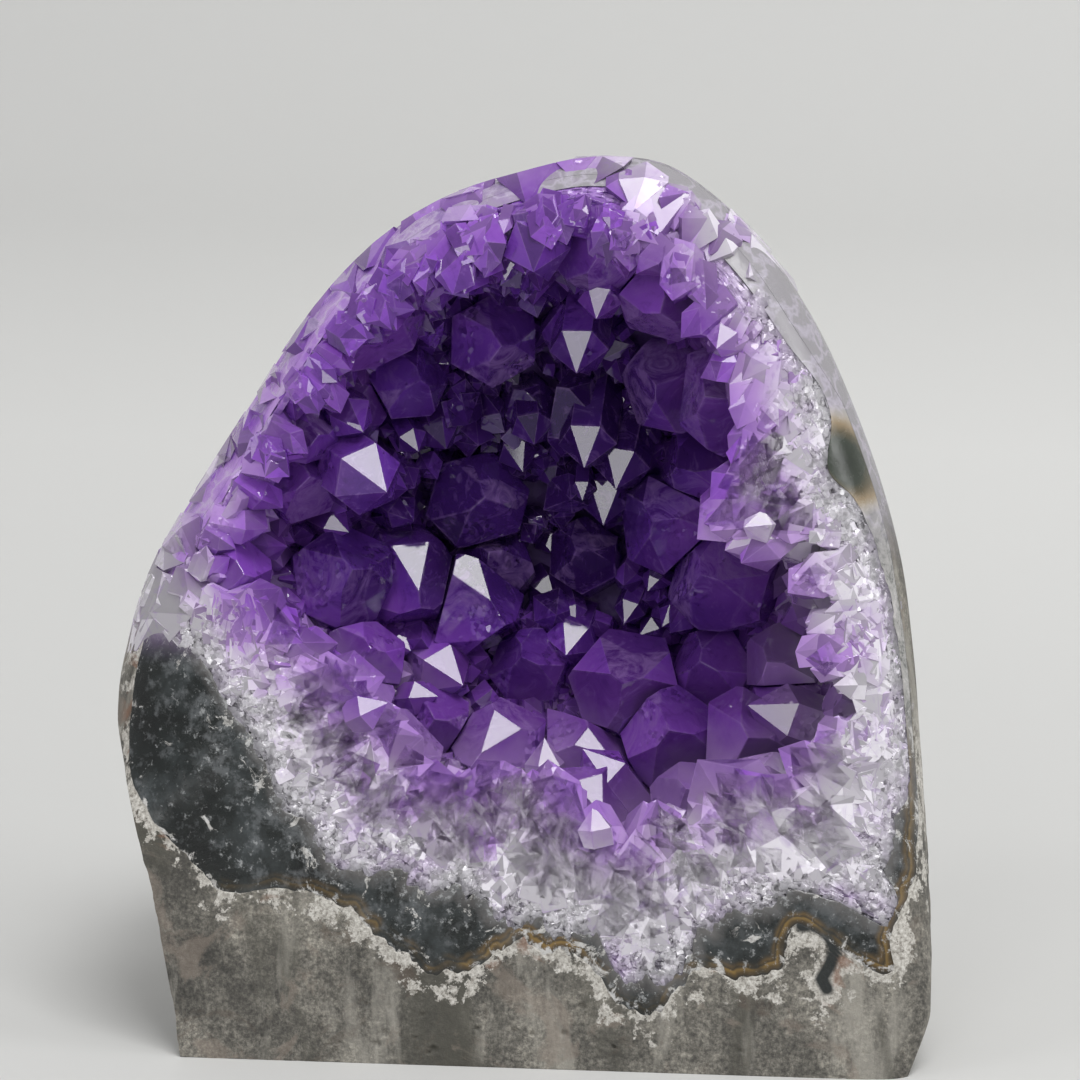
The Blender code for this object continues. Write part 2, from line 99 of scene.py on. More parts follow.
# Outlines on the front face, across and up: the ground outside, and the outer edges of the
# chalcedony, the quartz and the hollow.
NODULE = [
    (48.6, 9), (48.2, 17), (47.4, 28), (46.4, 40), (45.2, 52), (43.4, 64), (40.4, 75), (36.2, 86),
    (30.8, 97), (24.8, 105.6), (18.6, 112), (11, 116.6), (2, 117.2), (-8, 115), (-17, 112),
    (-25.5, 107), (-32, 101), (-38, 93.5), (-45, 82.5), (-52, 71.4), (-57.4, 62), (-60.4, 52),
    (-61.4, 42), (-59.4, 36.5), (-56, 27), (-53.2, 16), (-51.2, 6), (-49, -6), (-38, -17), (-16, -23),
    (12, -23), (32, -18), (42, -7), (46.4, 2),
]
ROCK_EDGE = [
    (46.2, 38), (46.2, 31), (45.6, 24), (43.6, 18.8), (40.2, 14.6), (33.6, 18.8), (28.6, 14),
    (25, 12.4), (20, 13.4), (15, 10), (9, 8.8), (5, 12.6), (0, 14.6), (-6.4, 15.9), (-12, 13.2),
    (-18, 13), (-22, 14), (-26, 18.6), (-31, 21.6), (-38, 22.6), (-44.4, 22), (-50.4, 26.6),
    (-55, 32), (-58.2, 37), (-58.4, 46), (-57, 54), (-53.4, 64), (-47.5, 73), (-40, 86), (-25, 105),
    (-8, 113.6), (2, 115.6), (10, 114.8), (17, 110.5), (29, 96), (39.2, 78), (43, 61), (45.4, 46),
]
BAND_EDGE = [
    (45, 46), (44.2, 34), (42.8, 27), (40.4, 21), (36, 23.4), (31, 24), (26.5, 21.6), (22, 20.4),
    (16.6, 16), (12.4, 12.8), (8.6, 11.2), (5.4, 15.6), (0, 17.4), (-8, 20.8), (-16, 22.6),
    (-22, 25.6), (-30.6, 26), (-34, 30.4), (-37.5, 36.4), (-41.5, 42.6), (-45.4, 47.5), (-49, 53),
    (-52.4, 61), (-46.5, 73), (-39, 86), (-24, 104), (-7, 112.4), (2, 114.2), (9.4, 113.2),
    (15.6, 109), (27.5, 95), (34, 84), (33.6, 78.5), (37, 74.4), (42, 61),
]
BED_EDGE = [
    (42.4, 46), (40.5, 36), (36, 30.5), (30, 28.6), (22, 26), (14, 22.6), (7.6, 21), (1, 24),
    (-8, 27), (-17, 29.4), (-25, 31.6), (-30, 37), (-34.4, 43), (-39.5, 49.5), (-45, 56.5),
    (-49.6, 63), (-45, 73), (-37.6, 86), (-23, 103), (-7, 111), (2, 112), (12, 107.5), (22, 98),
    (28.6, 89), (28.4, 82.5), (27.4, 79), (31, 74.5), (38, 66), (41.5, 56),
]
# Height of a crystal's point over its radius.
POINT_RISE = 1.12
# A tongue of dark chalcedony that hooks down into the rock, as points along it on the front face.
HOOK = [(31.5, 19.6), (33.4, 19.9), (35.0, 18.6), (35.9, 16.6), (35.2, 14.6), (34.2, 12.8), (34.9, 11.6)]
HOOK_HALF_WIDTH = 1.1
# The eye of banded agate in the right side, on the front face.
EYE = (35.9, 79.0)
EYE_RADIUS = 4.0

# Points round the axis, and how much closer together they stand at the foot.
AROUND = 640
FOOT_FINENESS = 0.5
# Rows of points on each layer's hidden bowl, and on the rock's front, chalcedony's and quartz's.
BOWL_ROWS = 8
ROCK_ROWS, BAND_ROWS, BED_ROWS = 76, 60, 56
# A crystal of a field: its corners come first, then the middles of its faces. The face that is
# turned to a lamp when a crystal flashes is given by its number.
CRYSTAL_CORNERS, CRYSTAL_POINTS, FLASHING_FACE = 14, 26, 11


def linear(hexed):
    """An sRGB hex colour as linear red, green and blue."""
    parts = [int(hexed[i:i + 2], 16) / 255 for i in (1, 3, 5)]
    return tuple(c / 12.92 if c <= 0.04045 else ((c + 0.055) / 1.055) ** 2.4 for c in parts)


# ---------------------------------------------------------------- settings


class GeodeSizes(bpy.types.PropertyGroup):
    ragged: FloatProperty(
        name="Ragged edges", description="How far the layers' edges wander, in metres",
        default=0.0007, min=0.0, max=0.003, unit="LENGTH",
    )
    druse_count: IntProperty(
        name="Lesser crystals", description="Crystals between the standing ones",
        default=620, min=50, max=2000,
    )
    fill_count: IntProperty(
        name="Filling crystals", description="Small crystals that cover the bed under the others",
        default=2800, min=0, max=4000,
    )
    druse_radius: FloatProperty(
        name="Lesser crystal radius", description="Radius of a middling lesser crystal",
        default=0.0033, min=0.001, max=0.006, unit="LENGTH",
    )
    flashing: FloatProperty(
        name="Flashing share", description="Share of the lesser crystals turned to catch the light",
        default=0.7, min=0.0, max=1.0, subtype="FACTOR",
    )
    sugar_count: IntProperty(
        name="Sugar grains", description="Small quartz points on the white rim",
        default=2600, min=100, max=8000,
    )
    sugar_radius: FloatProperty(
        name="Sugar grain radius", description="Radius of a middling quartz grain",
        default=0.00062, min=0.0002, max=0.002, unit="LENGTH",
    )
    crystal_bevel: FloatProperty(
        name="Edge wear", description="Width of the worn edge on a standing crystal",
        default=0.00009, min=0.0, max=0.0005, unit="LENGTH",
    )


COLOURS = {
    "basalt": ("#625F58", "Middle grey of the sawn rock"),
    "chalcedony": ("#191E1D", "Deep green-black of the band"),
    "quartz": ("#EFEBF3", "Milky quartz at the rim"),
    "lilac": ("#BE98DA", "Amethyst near the rim"),
    "purple": ("#9254C6", "Amethyst in the open"),
    "deep": ("#6D3AA8", "Amethyst in the heart of the hollow"),
}


class GeodeColours(bpy.types.PropertyGroup):
    __annotations__ = {
        name: FloatVectorProperty(
            name=name.capitalize(), description=about, subtype="COLOR", size=3, min=0.0, max=1.0,
            default=linear(hexed),
        )
        for name, (hexed, about) in COLOURS.items()
    }


# ---------------------------------------------------------------- shapes of the layers


def smooth_radius(outline, angles):
    """Radius at each angle of the closed curve through the outline: a cubic from point to point,
    whose slope at a point is that of the line between its two neighbours."""
    points = np.array(outline, float) - (0, AXIS_HEIGHT)
    turn = np.arctan2(points[:, 1], points[:, 0]) % (2 * math.pi)
    order = np.argsort(turn)
    turn, radius = turn[order], np.hypot(*points.T)[order]
    turn = np.concatenate([turn[-2:] - 2 * math.pi, turn, turn[:2] + 2 * math.pi])
    radius = np.concatenate([radius[-2:], radius, radius[:2]])
    slope = np.gradient(radius, turn)
    angles = np.asarray(angles, float) % (2 * math.pi)
    i = np.clip(np.searchsorted(turn, angles) - 1, 1, len(turn) - 3)
    span = turn[i + 1] - turn[i]
    t = (angles - turn[i]) / span
    rise = 3 * t**2 - 2 * t**3
    return (
        radius[i] * (1 - rise)
        + radius[i + 1] * rise
        + span * (slope[i] * (t - 2 * t**2 + t**3) + slope[i + 1] * (t**3 - t**2))
    )


def ease(t):
    """A smooth rise from 0 to 1 that is level at both ends."""
    t = np.clip(t, 0, 1)
    return t * t * (3 - 2 * t)


def swing(angles, middle, reach):
    """1 at the angle middle, falling smoothly to 0 at reach away from it. Both in degrees."""
    away = np.abs((np.degrees(angles) - middle + 180) % 360 - 180)
    return ease(1 - away / reach)


def wander(angles, size, seed):
    """A closed random line: a sum of sines of rising frequency and falling height."""
    draw = np.random.default_rng(seed)
    total = np.zeros_like(angles)
    for waves in (13, 23, 37, 59, 97, 151, 233):
        total = total + np.sin(waves * angles + draw.uniform(0, 2 * math.pi)) / waves**0.62
    return total * size * 5


def nodule_radius(angles):
    """Distance from the axis to the ground outside."""
    return smooth_radius(NODULE, angles)


def rock_edge(angles, ragged):
    """Distance from the axis to the line between rock and chalcedony."""
    edge = smooth_radius(ROCK_EDGE, angles) + wander(angles, ragged, 3) * swing(angles, -90, 100)
    return np.minimum(edge, nodule_radius(angles) - LEAST_WALL)


def band_edge(angles, ragged):
    """Distance from the axis to the line between chalcedony and quartz."""
    edge = smooth_radius(BAND_EDGE, angles) + wander(angles, 1.5 * ragged, 5) * swing(angles, -90, 130)
    edge = np.minimum(edge, nodule_radius(angles) - 2 * LEAST_WALL)
    return np.minimum(edge, rock_edge(angles, ragged) - LEAST_WALL)


def bed_edge(angles, ragged=0.0):
    """Distance from the axis to the rim of the hollow."""
    edge = smooth_radius(BED_EDGE, angles)
    edge = np.minimum(edge, nodule_radius(angles) - 3 * LEAST_WALL)
    return np.minimum(edge, band_edge(angles, ragged) - LEAST_WALL)


def lip_start(angles):
    """Share of the nodule's radius at which the ground lip starts to turn back."""
    return 0.86 - 0.20 * swing(angles, 190, 55) - 0.06 * swing(angles, 0, 60)


def lip_depth(angles):
    """How far the lip has turned back at the nodule's edge. The sawn foot has no lip."""
    turn = np.degrees(angles) % 360
    sawn = ease((turn - 190) / 16) * ease((332 - turn) / 35)
    return (7 + 7 * swing(angles, 160, 100) + 5 * swing(angles, 10, 70)) * (1 - sawn)


def front_y(angles, radius):
    """The front face: a leaning plane, with its lip a quarter ellipse at the nodule's edge."""
    share = radius / nodule_radius(angles)
    start = lip_start(angles)
    t = np.clip((share - start) / (1 - start), 0, 1)
    z = AXIS_HEIGHT + radius * np.sin(angles)
    return FRONT_Y + FRONT_LEAN * z + lip_depth(angles) * (1 - np.sqrt(1 - t * t))


def ring(angles, radius, y):
    """Points at these angles and distances round the axis."""
    return np.stack([radius * np.cos(angles), y, AXIS_HEIGHT + radius * np.sin(angles)], axis=-1)


def pole_y(depth):
    """Where a layer of this depth crosses the axis."""
    return FRONT_Y + FRONT_LEAN * AXIS_HEIGHT + depth


def around():
    """Angles round the axis, set closer together at the sawn foot."""
    even = np.arange(AROUND) * 2 * math.pi / AROUND
    return even - FOOT_FINENESS * np.cos(even)


def bowl_rows(angles, edge, depth, rows):
    """A bowl from its edge on the front face to its pole: a quarter ellipse each way."""
    turn = 0.5 * math.pi * np.arange(rows)[:, None] / rows
    edge_y = front_y(angles, edge)
    share = np.sin(turn)
    return ring(np.broadcast_to(angles, (rows, len(angles))), edge * np.cos(turn),
                edge_y * (1 - share) + pole_y(depth) * share)


def face_rows(angles, inner, outer, rows):
    """The front face from an inner to an outer edge, with rows closing up towards the outer one."""
    share = np.sin(0.5 * math.pi * np.arange(1, rows + 1)[:, None] / rows)
    radius = inner + (outer - inner) * share
    return ring(np.broadcast_to(angles, radius.shape), radius, front_y(angles, radius))


def unit(vectors):
    """The same directions at length 1."""
    return vectors / np.linalg.norm(vectors, axis=-1, keepdims=True)


def polar(points):
    """Angle round the axis and distance from it."""
    across, up = points[..., 0], points[..., 2] - AXIS_HEIGHT
    return np.arctan2(up, across), np.hypot(across, up)


def rim_depth(points, ragged):
    """How far in from the bed's edge a point lies, as it is seen from the front. Colour sets in
    sooner at the crown and the left, where the whole nodule is ground down to coloured crystal."""
    angles, radius = polar(points)
    return bed_edge(angles, ragged) - radius + 17 * swing(angles, 118, 95) - 4 * swing(angles, -50, 110)


def beyond_bed(points, ragged):
    """How far in from the chalcedony a point lies."""
    angles, radius = polar(points)
    return band_edge(angles, ragged) - radius + 20 * gem_share(angles)


def ground(points, inset=0.05):
    """Brings every point that stands out of the ground outside back to it."""
    angles, radius = polar(points)
    radius = np.minimum(radius, nodule_radius(angles) - inset)
    return ring(angles, radius, np.maximum(points[..., 1], front_y(angles, radius) + inset))


def gem_share(angles):
    """1 where the ground outside cuts through crystal right to the silhouette: crown and left."""
    turn = np.degrees(angles) % 360
    return ease((turn - 58) / 14) * ease((186 - turn) / 14)


def cut_share(angles):
    """1 where the ground outside shows crystal and pale quartz: the gem share, and the upper right."""
    turn = np.degrees(angles) % 360
    return ease((turn - 8) / 22) * ease((186 - turn) / 14)


def sunk(front, angles):
    """The front face drawn back under the crystals that the ground outside cuts through."""
    depth = gem_share(angles)
    turn, radius = polar(front)
    return ring(turn, radius - 0.5 * depth, front[..., 1] + 1.5 * depth)


def chipped(rows, share):
    """Rows of the outside broken back from the smooth outline in steps and chips."""
    turn, radius = polar(rows)
    ledge = ease((38.5 - rows[..., 2]) / 1.5) * ease((rows[..., 2] - 26) / 8)
    chips = np.clip(rough(rows, 6, 111, 2), 0, 1) + 0.9 * np.clip(rough(rows, 1.8, 121, 3), 0, 1)
    return ring(turn, radius - (1.4 * ledge + chips) * share, rows[..., 1])


def low_share(angles):
    """1 round the foot, where rock and lining show as clear bands, 0 higher up."""
    turn = np.degrees(angles) % 360
    return ease((turn - 176) / 8) * ease((352 - turn) / 12)


# ---------------------------------------------------------------- natural roughness


def scatter(cell, seed):
    """A fixed random number from 0 to 1 for each whole-number lattice cell."""
    cell = cell.astype(np.int64).astype(np.uint32)
    mixed = cell[..., 0] * np.uint32(73856093) ^ cell[..., 1] * np.uint32(19349663)
    mixed = mixed ^ cell[..., 2] * np.uint32(83492791) ^ np.uint32(seed * 2654435 + 97)
    for _ in range(2):
        mixed = (mixed ^ (mixed >> np.uint32(15))) * np.uint32(2246822519)
        mixed = mixed ^ (mixed >> np.uint32(13))
    return mixed.astype(float) / 2**32


def noise(points, size, seed):
    """Smooth noise from 0 to 1: lattice values blended by an eased cube of weights."""
    where = points / size
    cell = np.floor(where)
    part = ease(where - cell)
    total = 0.0
    for corner in np.ndindex(2, 2, 2):
        weight = np.prod(np.where(np.array(corner) == 1, part, 1 - part), axis=-1)
        total = total + weight * scatter(cell + corner, seed)
    return total


def rough(points, size, seed, octaves=4):
    """Noise octaves from -1 to 1, each half the size and half the height of the one before."""
    total, height = 0.0, 1.0
    for octave in range(octaves):
        total = total + height * (2 * noise(points, size / 2**octave, seed + octave) - 1)
        height *= 0.5
    return total / 1.9


def nearest_grain(points, size, seed):
    """The nearest of one random point per lattice cell: its distance over size, and its cell."""
    where = points / size
    cell = np.floor(where)
    best = np.full(points.shape[:-1], 9.0)
    best_cell = cell.copy()
    for step in np.ndindex(3, 3, 3):
        other = cell + np.array(step) - 1
        seat = other + np.stack([scatter(other, seed + k) for k in (11, 23, 37)], axis=-1)
        distance = np.linalg.norm(where - seat, axis=-1)
        nearer = distance < best
        best = np.where(nearer, distance, best)
        best_cell = np.where(nearer[..., None], other, best_cell)
    return best, best_cell


def pits(points, size, radius, depth, seed):
    """Round-bottomed bubbles of one size range, as depths at the points."""
    distance, cell = nearest_grain(points, size, seed)
    own = radius * (0.35 + 0.65 * scatter(cell, seed + 5)) * (scatter(cell, seed + 9) > 0.45)
    reach = np.clip(1 - (distance * size / np.maximum(own, 1e-6)) ** 2, 0, 1)
    return depth * np.sqrt(reach)


def facets(points, size, seed, height):
    """Grains with flat tilted tops: each grain's own plane through its middle."""
    cell = nearest_grain(points, size, seed)[1]
    middle = (cell + 0.5) * size
    tilt = np.stack([scatter(cell, seed + k) - 0.5 for k in (51, 63, 77)], axis=-1)
    return height * (2 * np.sum(tilt * (points - middle), axis=-1) / size + scatter(cell, seed + 90) - 0.5)


def polyline_distance(points, line):
    """Distance in x and z from each point to a chain of straight pieces."""
    flat = points[..., (0, 2)].reshape(-1, 2)
    best = np.full(len(flat), 1e9)
    for a, b in zip(line, line[1:]):
        run = b - a
        t = np.clip(((flat - a) @ run) / max(run @ run, 1e-12), 0, 1)
        best = np.minimum(best, np.hypot(*(flat - a - t[:, None] * run).T))
    return best.reshape(points.shape[:-1])


# ---------------------------------------------------------------- meshes


def grid_mesh(name, rows, first_pole, last_pole, smooth=True):
    """A closed mesh: rows of points joined by quads, with a fan to a pole at each end."""
    count_rows, count = rows.shape[:2]
    points = np.concatenate([[first_pole], rows.reshape(-1, 3), [last_pole]])
    here = np.arange(count)
    there = (here + 1) % count
    starts = 1 + count * np.arange(count_rows - 1)[:, None]
    quads = np.stack([starts + here, starts + count + here, starts + count + there, starts + there], -1)
    last = len(points) - 1
    end = 1 + count * (count_rows - 1)
    fans = np.concatenate([
        np.stack([np.zeros(count, int), 1 + here, 1 + there], -1),
        np.stack([np.full(count, last), end + there, end + here], -1),
    ])
    return new_mesh(name, points, quads.reshape(-1, 4), fans, smooth)


def new_mesh(name, points, quads, triangles, smooth):
    """An object whose mesh holds these points, in maker's millimetres, with its place in its mesh."""
    metres = (points + FOOTING) * MM
    low, high = (np.array(corner) for corner in CAD_BOX)
    metres = np.clip(metres, low + 1e-5, high - 1e-5)
    mesh = bpy.data.meshes.new(name)
    mesh.vertices.add(len(metres))
    mesh.vertices.foreach_set("co", metres.ravel().astype(np.float32))
    corners = np.concatenate([quads.ravel(), triangles.ravel()]).astype(np.int32)
    sizes = np.concatenate([np.full(len(quads), 4), np.full(len(triangles), 3)])
    mesh.loops.add(len(corners))
    mesh.loops.foreach_set("vertex_index", corners)
    mesh.polygons.add(len(sizes))
    mesh.polygons.foreach_set("loop_start", np.concatenate([[0], np.cumsum(sizes)[:-1]]).astype(np.int32))
    mesh.polygons.foreach_set("use_smooth", np.full(len(sizes), smooth))
    mesh.update(calc_edges=True)
    mesh.validate()
    made = bpy.data.objects.new(name, mesh)
    bpy.context.scene.collection.objects.link(made)
    return made


def outward(made):
    """Turns every face of a closed mesh to point out."""
    mesh = bmesh.new()
    mesh.from_mesh(made.data)
    bmesh.ops.recalc_face_normals(mesh, faces=mesh.faces)
    mesh.to_mesh(made.data)
    mesh.free()


def attribute(made, name, values, kind="FLOAT", domain="POINT", field="value"):
    """Stores one value for each point, or for each face or as vectors if told so."""
    layer = made.data.attributes.new(name, kind, domain)
    layer.data.foreach_set(field, np.ravel(values).astype(np.float32))


def settle(made, material, slot, *nodes):
    """Gives a piece its material and its body, in place of the solids it replaces. The slot is not used."""
    made.data.materials.clear()
    made.data.materials.append(material)
    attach(made, "root")
    if nodes:
        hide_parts(*nodes)


# ---------------------------------------------------------------- materials


def as_linear(colour):
    """A colour that may be given in sRGB hex, as four linear channels."""
    return (*(linear(colour) if isinstance(colour, str) else colour), 1)


def add(tree, kind, inputs=None, stops=None, **settings):
    """Adds a node with its settings, its ramp's stops, and its inputs as values or links."""
    made = tree.nodes.new("ShaderNode" + kind)
    for key, value in settings.items():
        setattr(made, key, value)
    if stops:
        marks = made.color_ramp.elements
        while len(marks) < len(stops):
            marks.new(0.5)
        for element, (position, colour) in zip(marks, stops):
            element.position = position
            element.color = as_linear(colour)
    for key, value in (inputs or {}).items():
        if isinstance(value, bpy.types.NodeSocket):
            tree.links.new(value, made.inputs[key])
        else:
            made.inputs[key].default_value = value
    return made


def start_material(name):
    """An empty material and its node tree."""
    material = bpy.data.materials.new(name)
    material.use_nodes = True
    tree = material.node_tree
    tree.nodes.clear()
    return material, tree


def grey(value):
    """A linear grey."""
    return (value, value, value)


def scaled(colour, share):
    """A linear colour made so many times as bright."""
    return tuple(share * part for part in colour)


def blend(tree, share, first, second, kind="MIX"):
    """Mixes two colours by a share that may be a number or a link."""
    made = add(tree, "Mix", {"Factor": share}, data_type="RGBA", blend_type=kind)
    for socket, value in ((made.inputs[6], first), (made.inputs[7], second)):
        if isinstance(value, bpy.types.NodeSocket):
            tree.links.new(value, socket)
        else:
            socket.default_value = as_linear(value)
    return made.outputs[2]


def coats(tree, colour, *layers):
    """A colour with layers laid over it in order, each a share and a colour."""
    for share, layer in layers:
        colour = blend(tree, share, colour, layer)
    return colour


def sum_of(tree, first, factor, second):
    """first * factor + second, as a link."""
    made = add(tree, "Math", {0: first, 1: factor, 2: second}, operation="MULTIPLY_ADD")
    return made.outputs["Value"]


def times(tree, first, second):
    """The product of two values, as a link."""
    return add(tree, "Math", {0: first, 1: second}, operation="MULTIPLY").outputs["Value"]


def fade(tree, value, start, end, at_start=0.0, at_end=1.0):
    """A straight fade of a value between two levels, held outside them."""
    made = add(tree, "MapRange", {
        "Value": value, "From Min": start, "From Max": end, "To Min": at_start, "To Max": at_end})
    return made.outputs["Result"]


def mottle(tree, at, scale, detail=5.0, roughness=0.6, distortion=0.0):
    """Fractal noise round 0.5 at so many grains a metre."""
    made = add(tree, "TexNoise", {
        "Vector": at, "Scale": scale, "Detail": detail, "Roughness": roughness, "Distortion": distortion})
    return made.outputs["Fac"]


def read(tree, name):
    """A number that the mesh carries under this name."""
    return add(tree, "Attribute", attribute_name=name).outputs["Fac"]


def object_point(tree):
    """The point in the piece's own metres, which are the frame's."""
    return add(tree, "TexCoord").outputs["Object"]


def vector_math(tree, operation, inputs):
    """One step of vector arithmetic, as a link."""
    return add(tree, "VectorMath", inputs, operation=operation).outputs["Vector"]


def glitter(tree, at, scale, tilt):
    """A normal that each grain of the surface turns its own way, so that grains flash one by one."""
    grains = add(tree, "TexVoronoi", {"Vector": at, "Scale": scale})
    off = vector_math(tree, "SUBTRACT", {0: grains.outputs["Color"], 1: (0.5, 0.5, 0.5)})
    reach = vector_math(tree, "SCALE", {0: off, "Scale": tilt})
    turned = vector_math(tree, "ADD", {0: add(tree, "NewGeometry").outputs["Normal"], 1: reach})
    return vector_math(tree, "NORMALIZE", {0: turned})


def ramp(tree, value, *stops):
    """A value as a colour, by stops of position and colour."""
    return add(tree, "ValToRGB", {"Fac": value}, stops=stops).outputs["Color"]


def principled(tree, inputs):
    """The surface shader, wired to the output."""
    shader = add(tree, "BsdfPrincipled", inputs)
    add(tree, "OutputMaterial", {"Surface": shader.outputs["BSDF"]})


def cut_crystal(tree, at, colours):
    """Colour of crystals ground off flush with the outside: purple hearts, lilac between, pale seams."""
    waves = add(tree, "TexNoise", {"Vector": at, "Scale": 260, "Detail": 4})
    bent = vector_math(tree, "MULTIPLY_ADD", {0: waves.outputs["Color"], 1: grey(0.009), 2: at})
    hearts = add(tree, "TexVoronoi", {"Vector": bent, "Scale": 150})
    seams = add(tree, "TexVoronoi", {"Vector": bent, "Scale": 150}, feature="DISTANCE_TO_EDGE")
    cloud = mottle(tree, at, 240, distortion=0.8)
    body = ramp(tree, cloud, (0.3, colours.deep), (0.5, colours.purple), (0.7, colours.lilac))
    body = blend(tree, fade(tree, hearts.outputs["Distance"], 0.1, 0.7), body, colours.lilac)
    crown = fade(tree, sum_of(tree, cloud, 0.03, add(tree, "SeparateXYZ", {0: at}).outputs["X"]),
                 -0.012, 0.022)
    body = blend(tree, crown, body, "#9A979C")
    return blend(tree, fade(tree, seams.outputs["Distance"], 0.0, 0.09, 0.45, 0.0), body, "#CFC6DA")


def sawn_basalt(colours):
    """Vesicular basalt, sawn on the foot and ground elsewhere: mottled grey with rusty and pale
    patches, dragged along the saw's path, and a broken crust of pale clay along the lining."""
    material, tree = start_material("sawn basalt")
    at = object_point(tree)
    edge, gem, low = read(tree, "edge_mm"), read(tree, "gem"), read(tree, "low")
    drag = add(tree, "Mapping", {"Vector": at, "Scale": (1, 1, 0.2)}).outputs["Vector"]
    grain, fine = mottle(tree, at, 1900, 6, 0.75), mottle(tree, at, 700, 5, 0.7)
    patch, blotch = mottle(tree, at, 60, 7, 0.62, 0.4), mottle(tree, drag, 60, 6, 0.62, 0.5)
    streak, rust = mottle(tree, drag, 120, 6, 0.62, 0.4), mottle(tree, at, 85, 7, 0.66, 0.8)
    base = colours.basalt
    colour = ramp(tree, patch, (0.36, scaled(base, 0.42)), (0.5, base), (0.62, scaled(base, 1.7)))
    grains = ramp(tree, grain, (0.36, grey(0.30)), (0.5, grey(1.0)), (0.64, grey(2.0)))
    colour = blend(tree, 0.85, colour, grains, "MULTIPLY")
    colour = blend(tree, 0.5, colour, ramp(tree, fine, (0.38, grey(0.35)), (0.62, grey(1.7))), "MULTIPLY")
    colour = coats(
        tree, colour, (fade(tree, streak, 0.52, 0.62, 0.0, 0.6), "#AAA69C"),
        (fade(tree, blotch, 0.38, 0.48, 0.8, 0.0), "#4A483F"),
        (fade(tree, rust, 0.56, 0.62, 0.0, 0.5), "#877B70"), (fade(tree, rust, 0.34, 0.42, 0.6, 0.0), "#55483D"))
    wobble, gaps = mottle(tree, at, 420, 7, 0.72), mottle(tree, at, 150, 3)
    near = fade(tree, edge, 0.0, 4.5, 0.24, 0.0)
    crust_level = add(tree, "Math", {0: sum_of(tree, gaps, 0.5, near), 1: wobble}).outputs[0]
    crusted = times(tree, fade(tree, crust_level, 0.92, 0.945, 0.0, 0.95), low)
    crusted = times(tree, crusted, fade(tree, edge, 4.0, 4.5, 1.0, 0.0))
    crust = ramp(tree, grain, (0.36, "#7F7A72"), (0.5, "#BDB9B1"), (0.62, "#DDDAD4"))
    ochre = times(tree, fade(tree, edge, 0.6, 1.8, 1.0, 0.0), fade(tree, rust, 0.55, 0.60, 0.0, 0.7))
    hooked = times(tree, fade(tree, edge, -0.5, 0.0, 1.0, 0.0), low)
    colour = coats(tree, colour, (crusted, crust), (times(tree, ochre, low), "#7A5640"),
                   (hooked, colours.chalcedony), (gem, cut_crystal(tree, at, colours)))
    bump = add(tree, "Bump", {"Height": grain, "Strength": 0.55, "Distance": 0.0003})
    bump = add(tree, "Bump", {
        "Height": streak, "Strength": 0.35, "Distance": 0.0006, "Normal": bump.outputs["Normal"]})
    dull = fade(tree, grain, 0.3, 0.7, 0.45, 0.75)
    polish = add(tree, "Mix", {"Factor": gem, "A": dull, "B": 0.12}).outputs["Result"]
    principled(tree, {
        "Base Color": colour, "Roughness": polish, "IOR": 1.55, "Normal": bump.outputs["Normal"]})
    return material


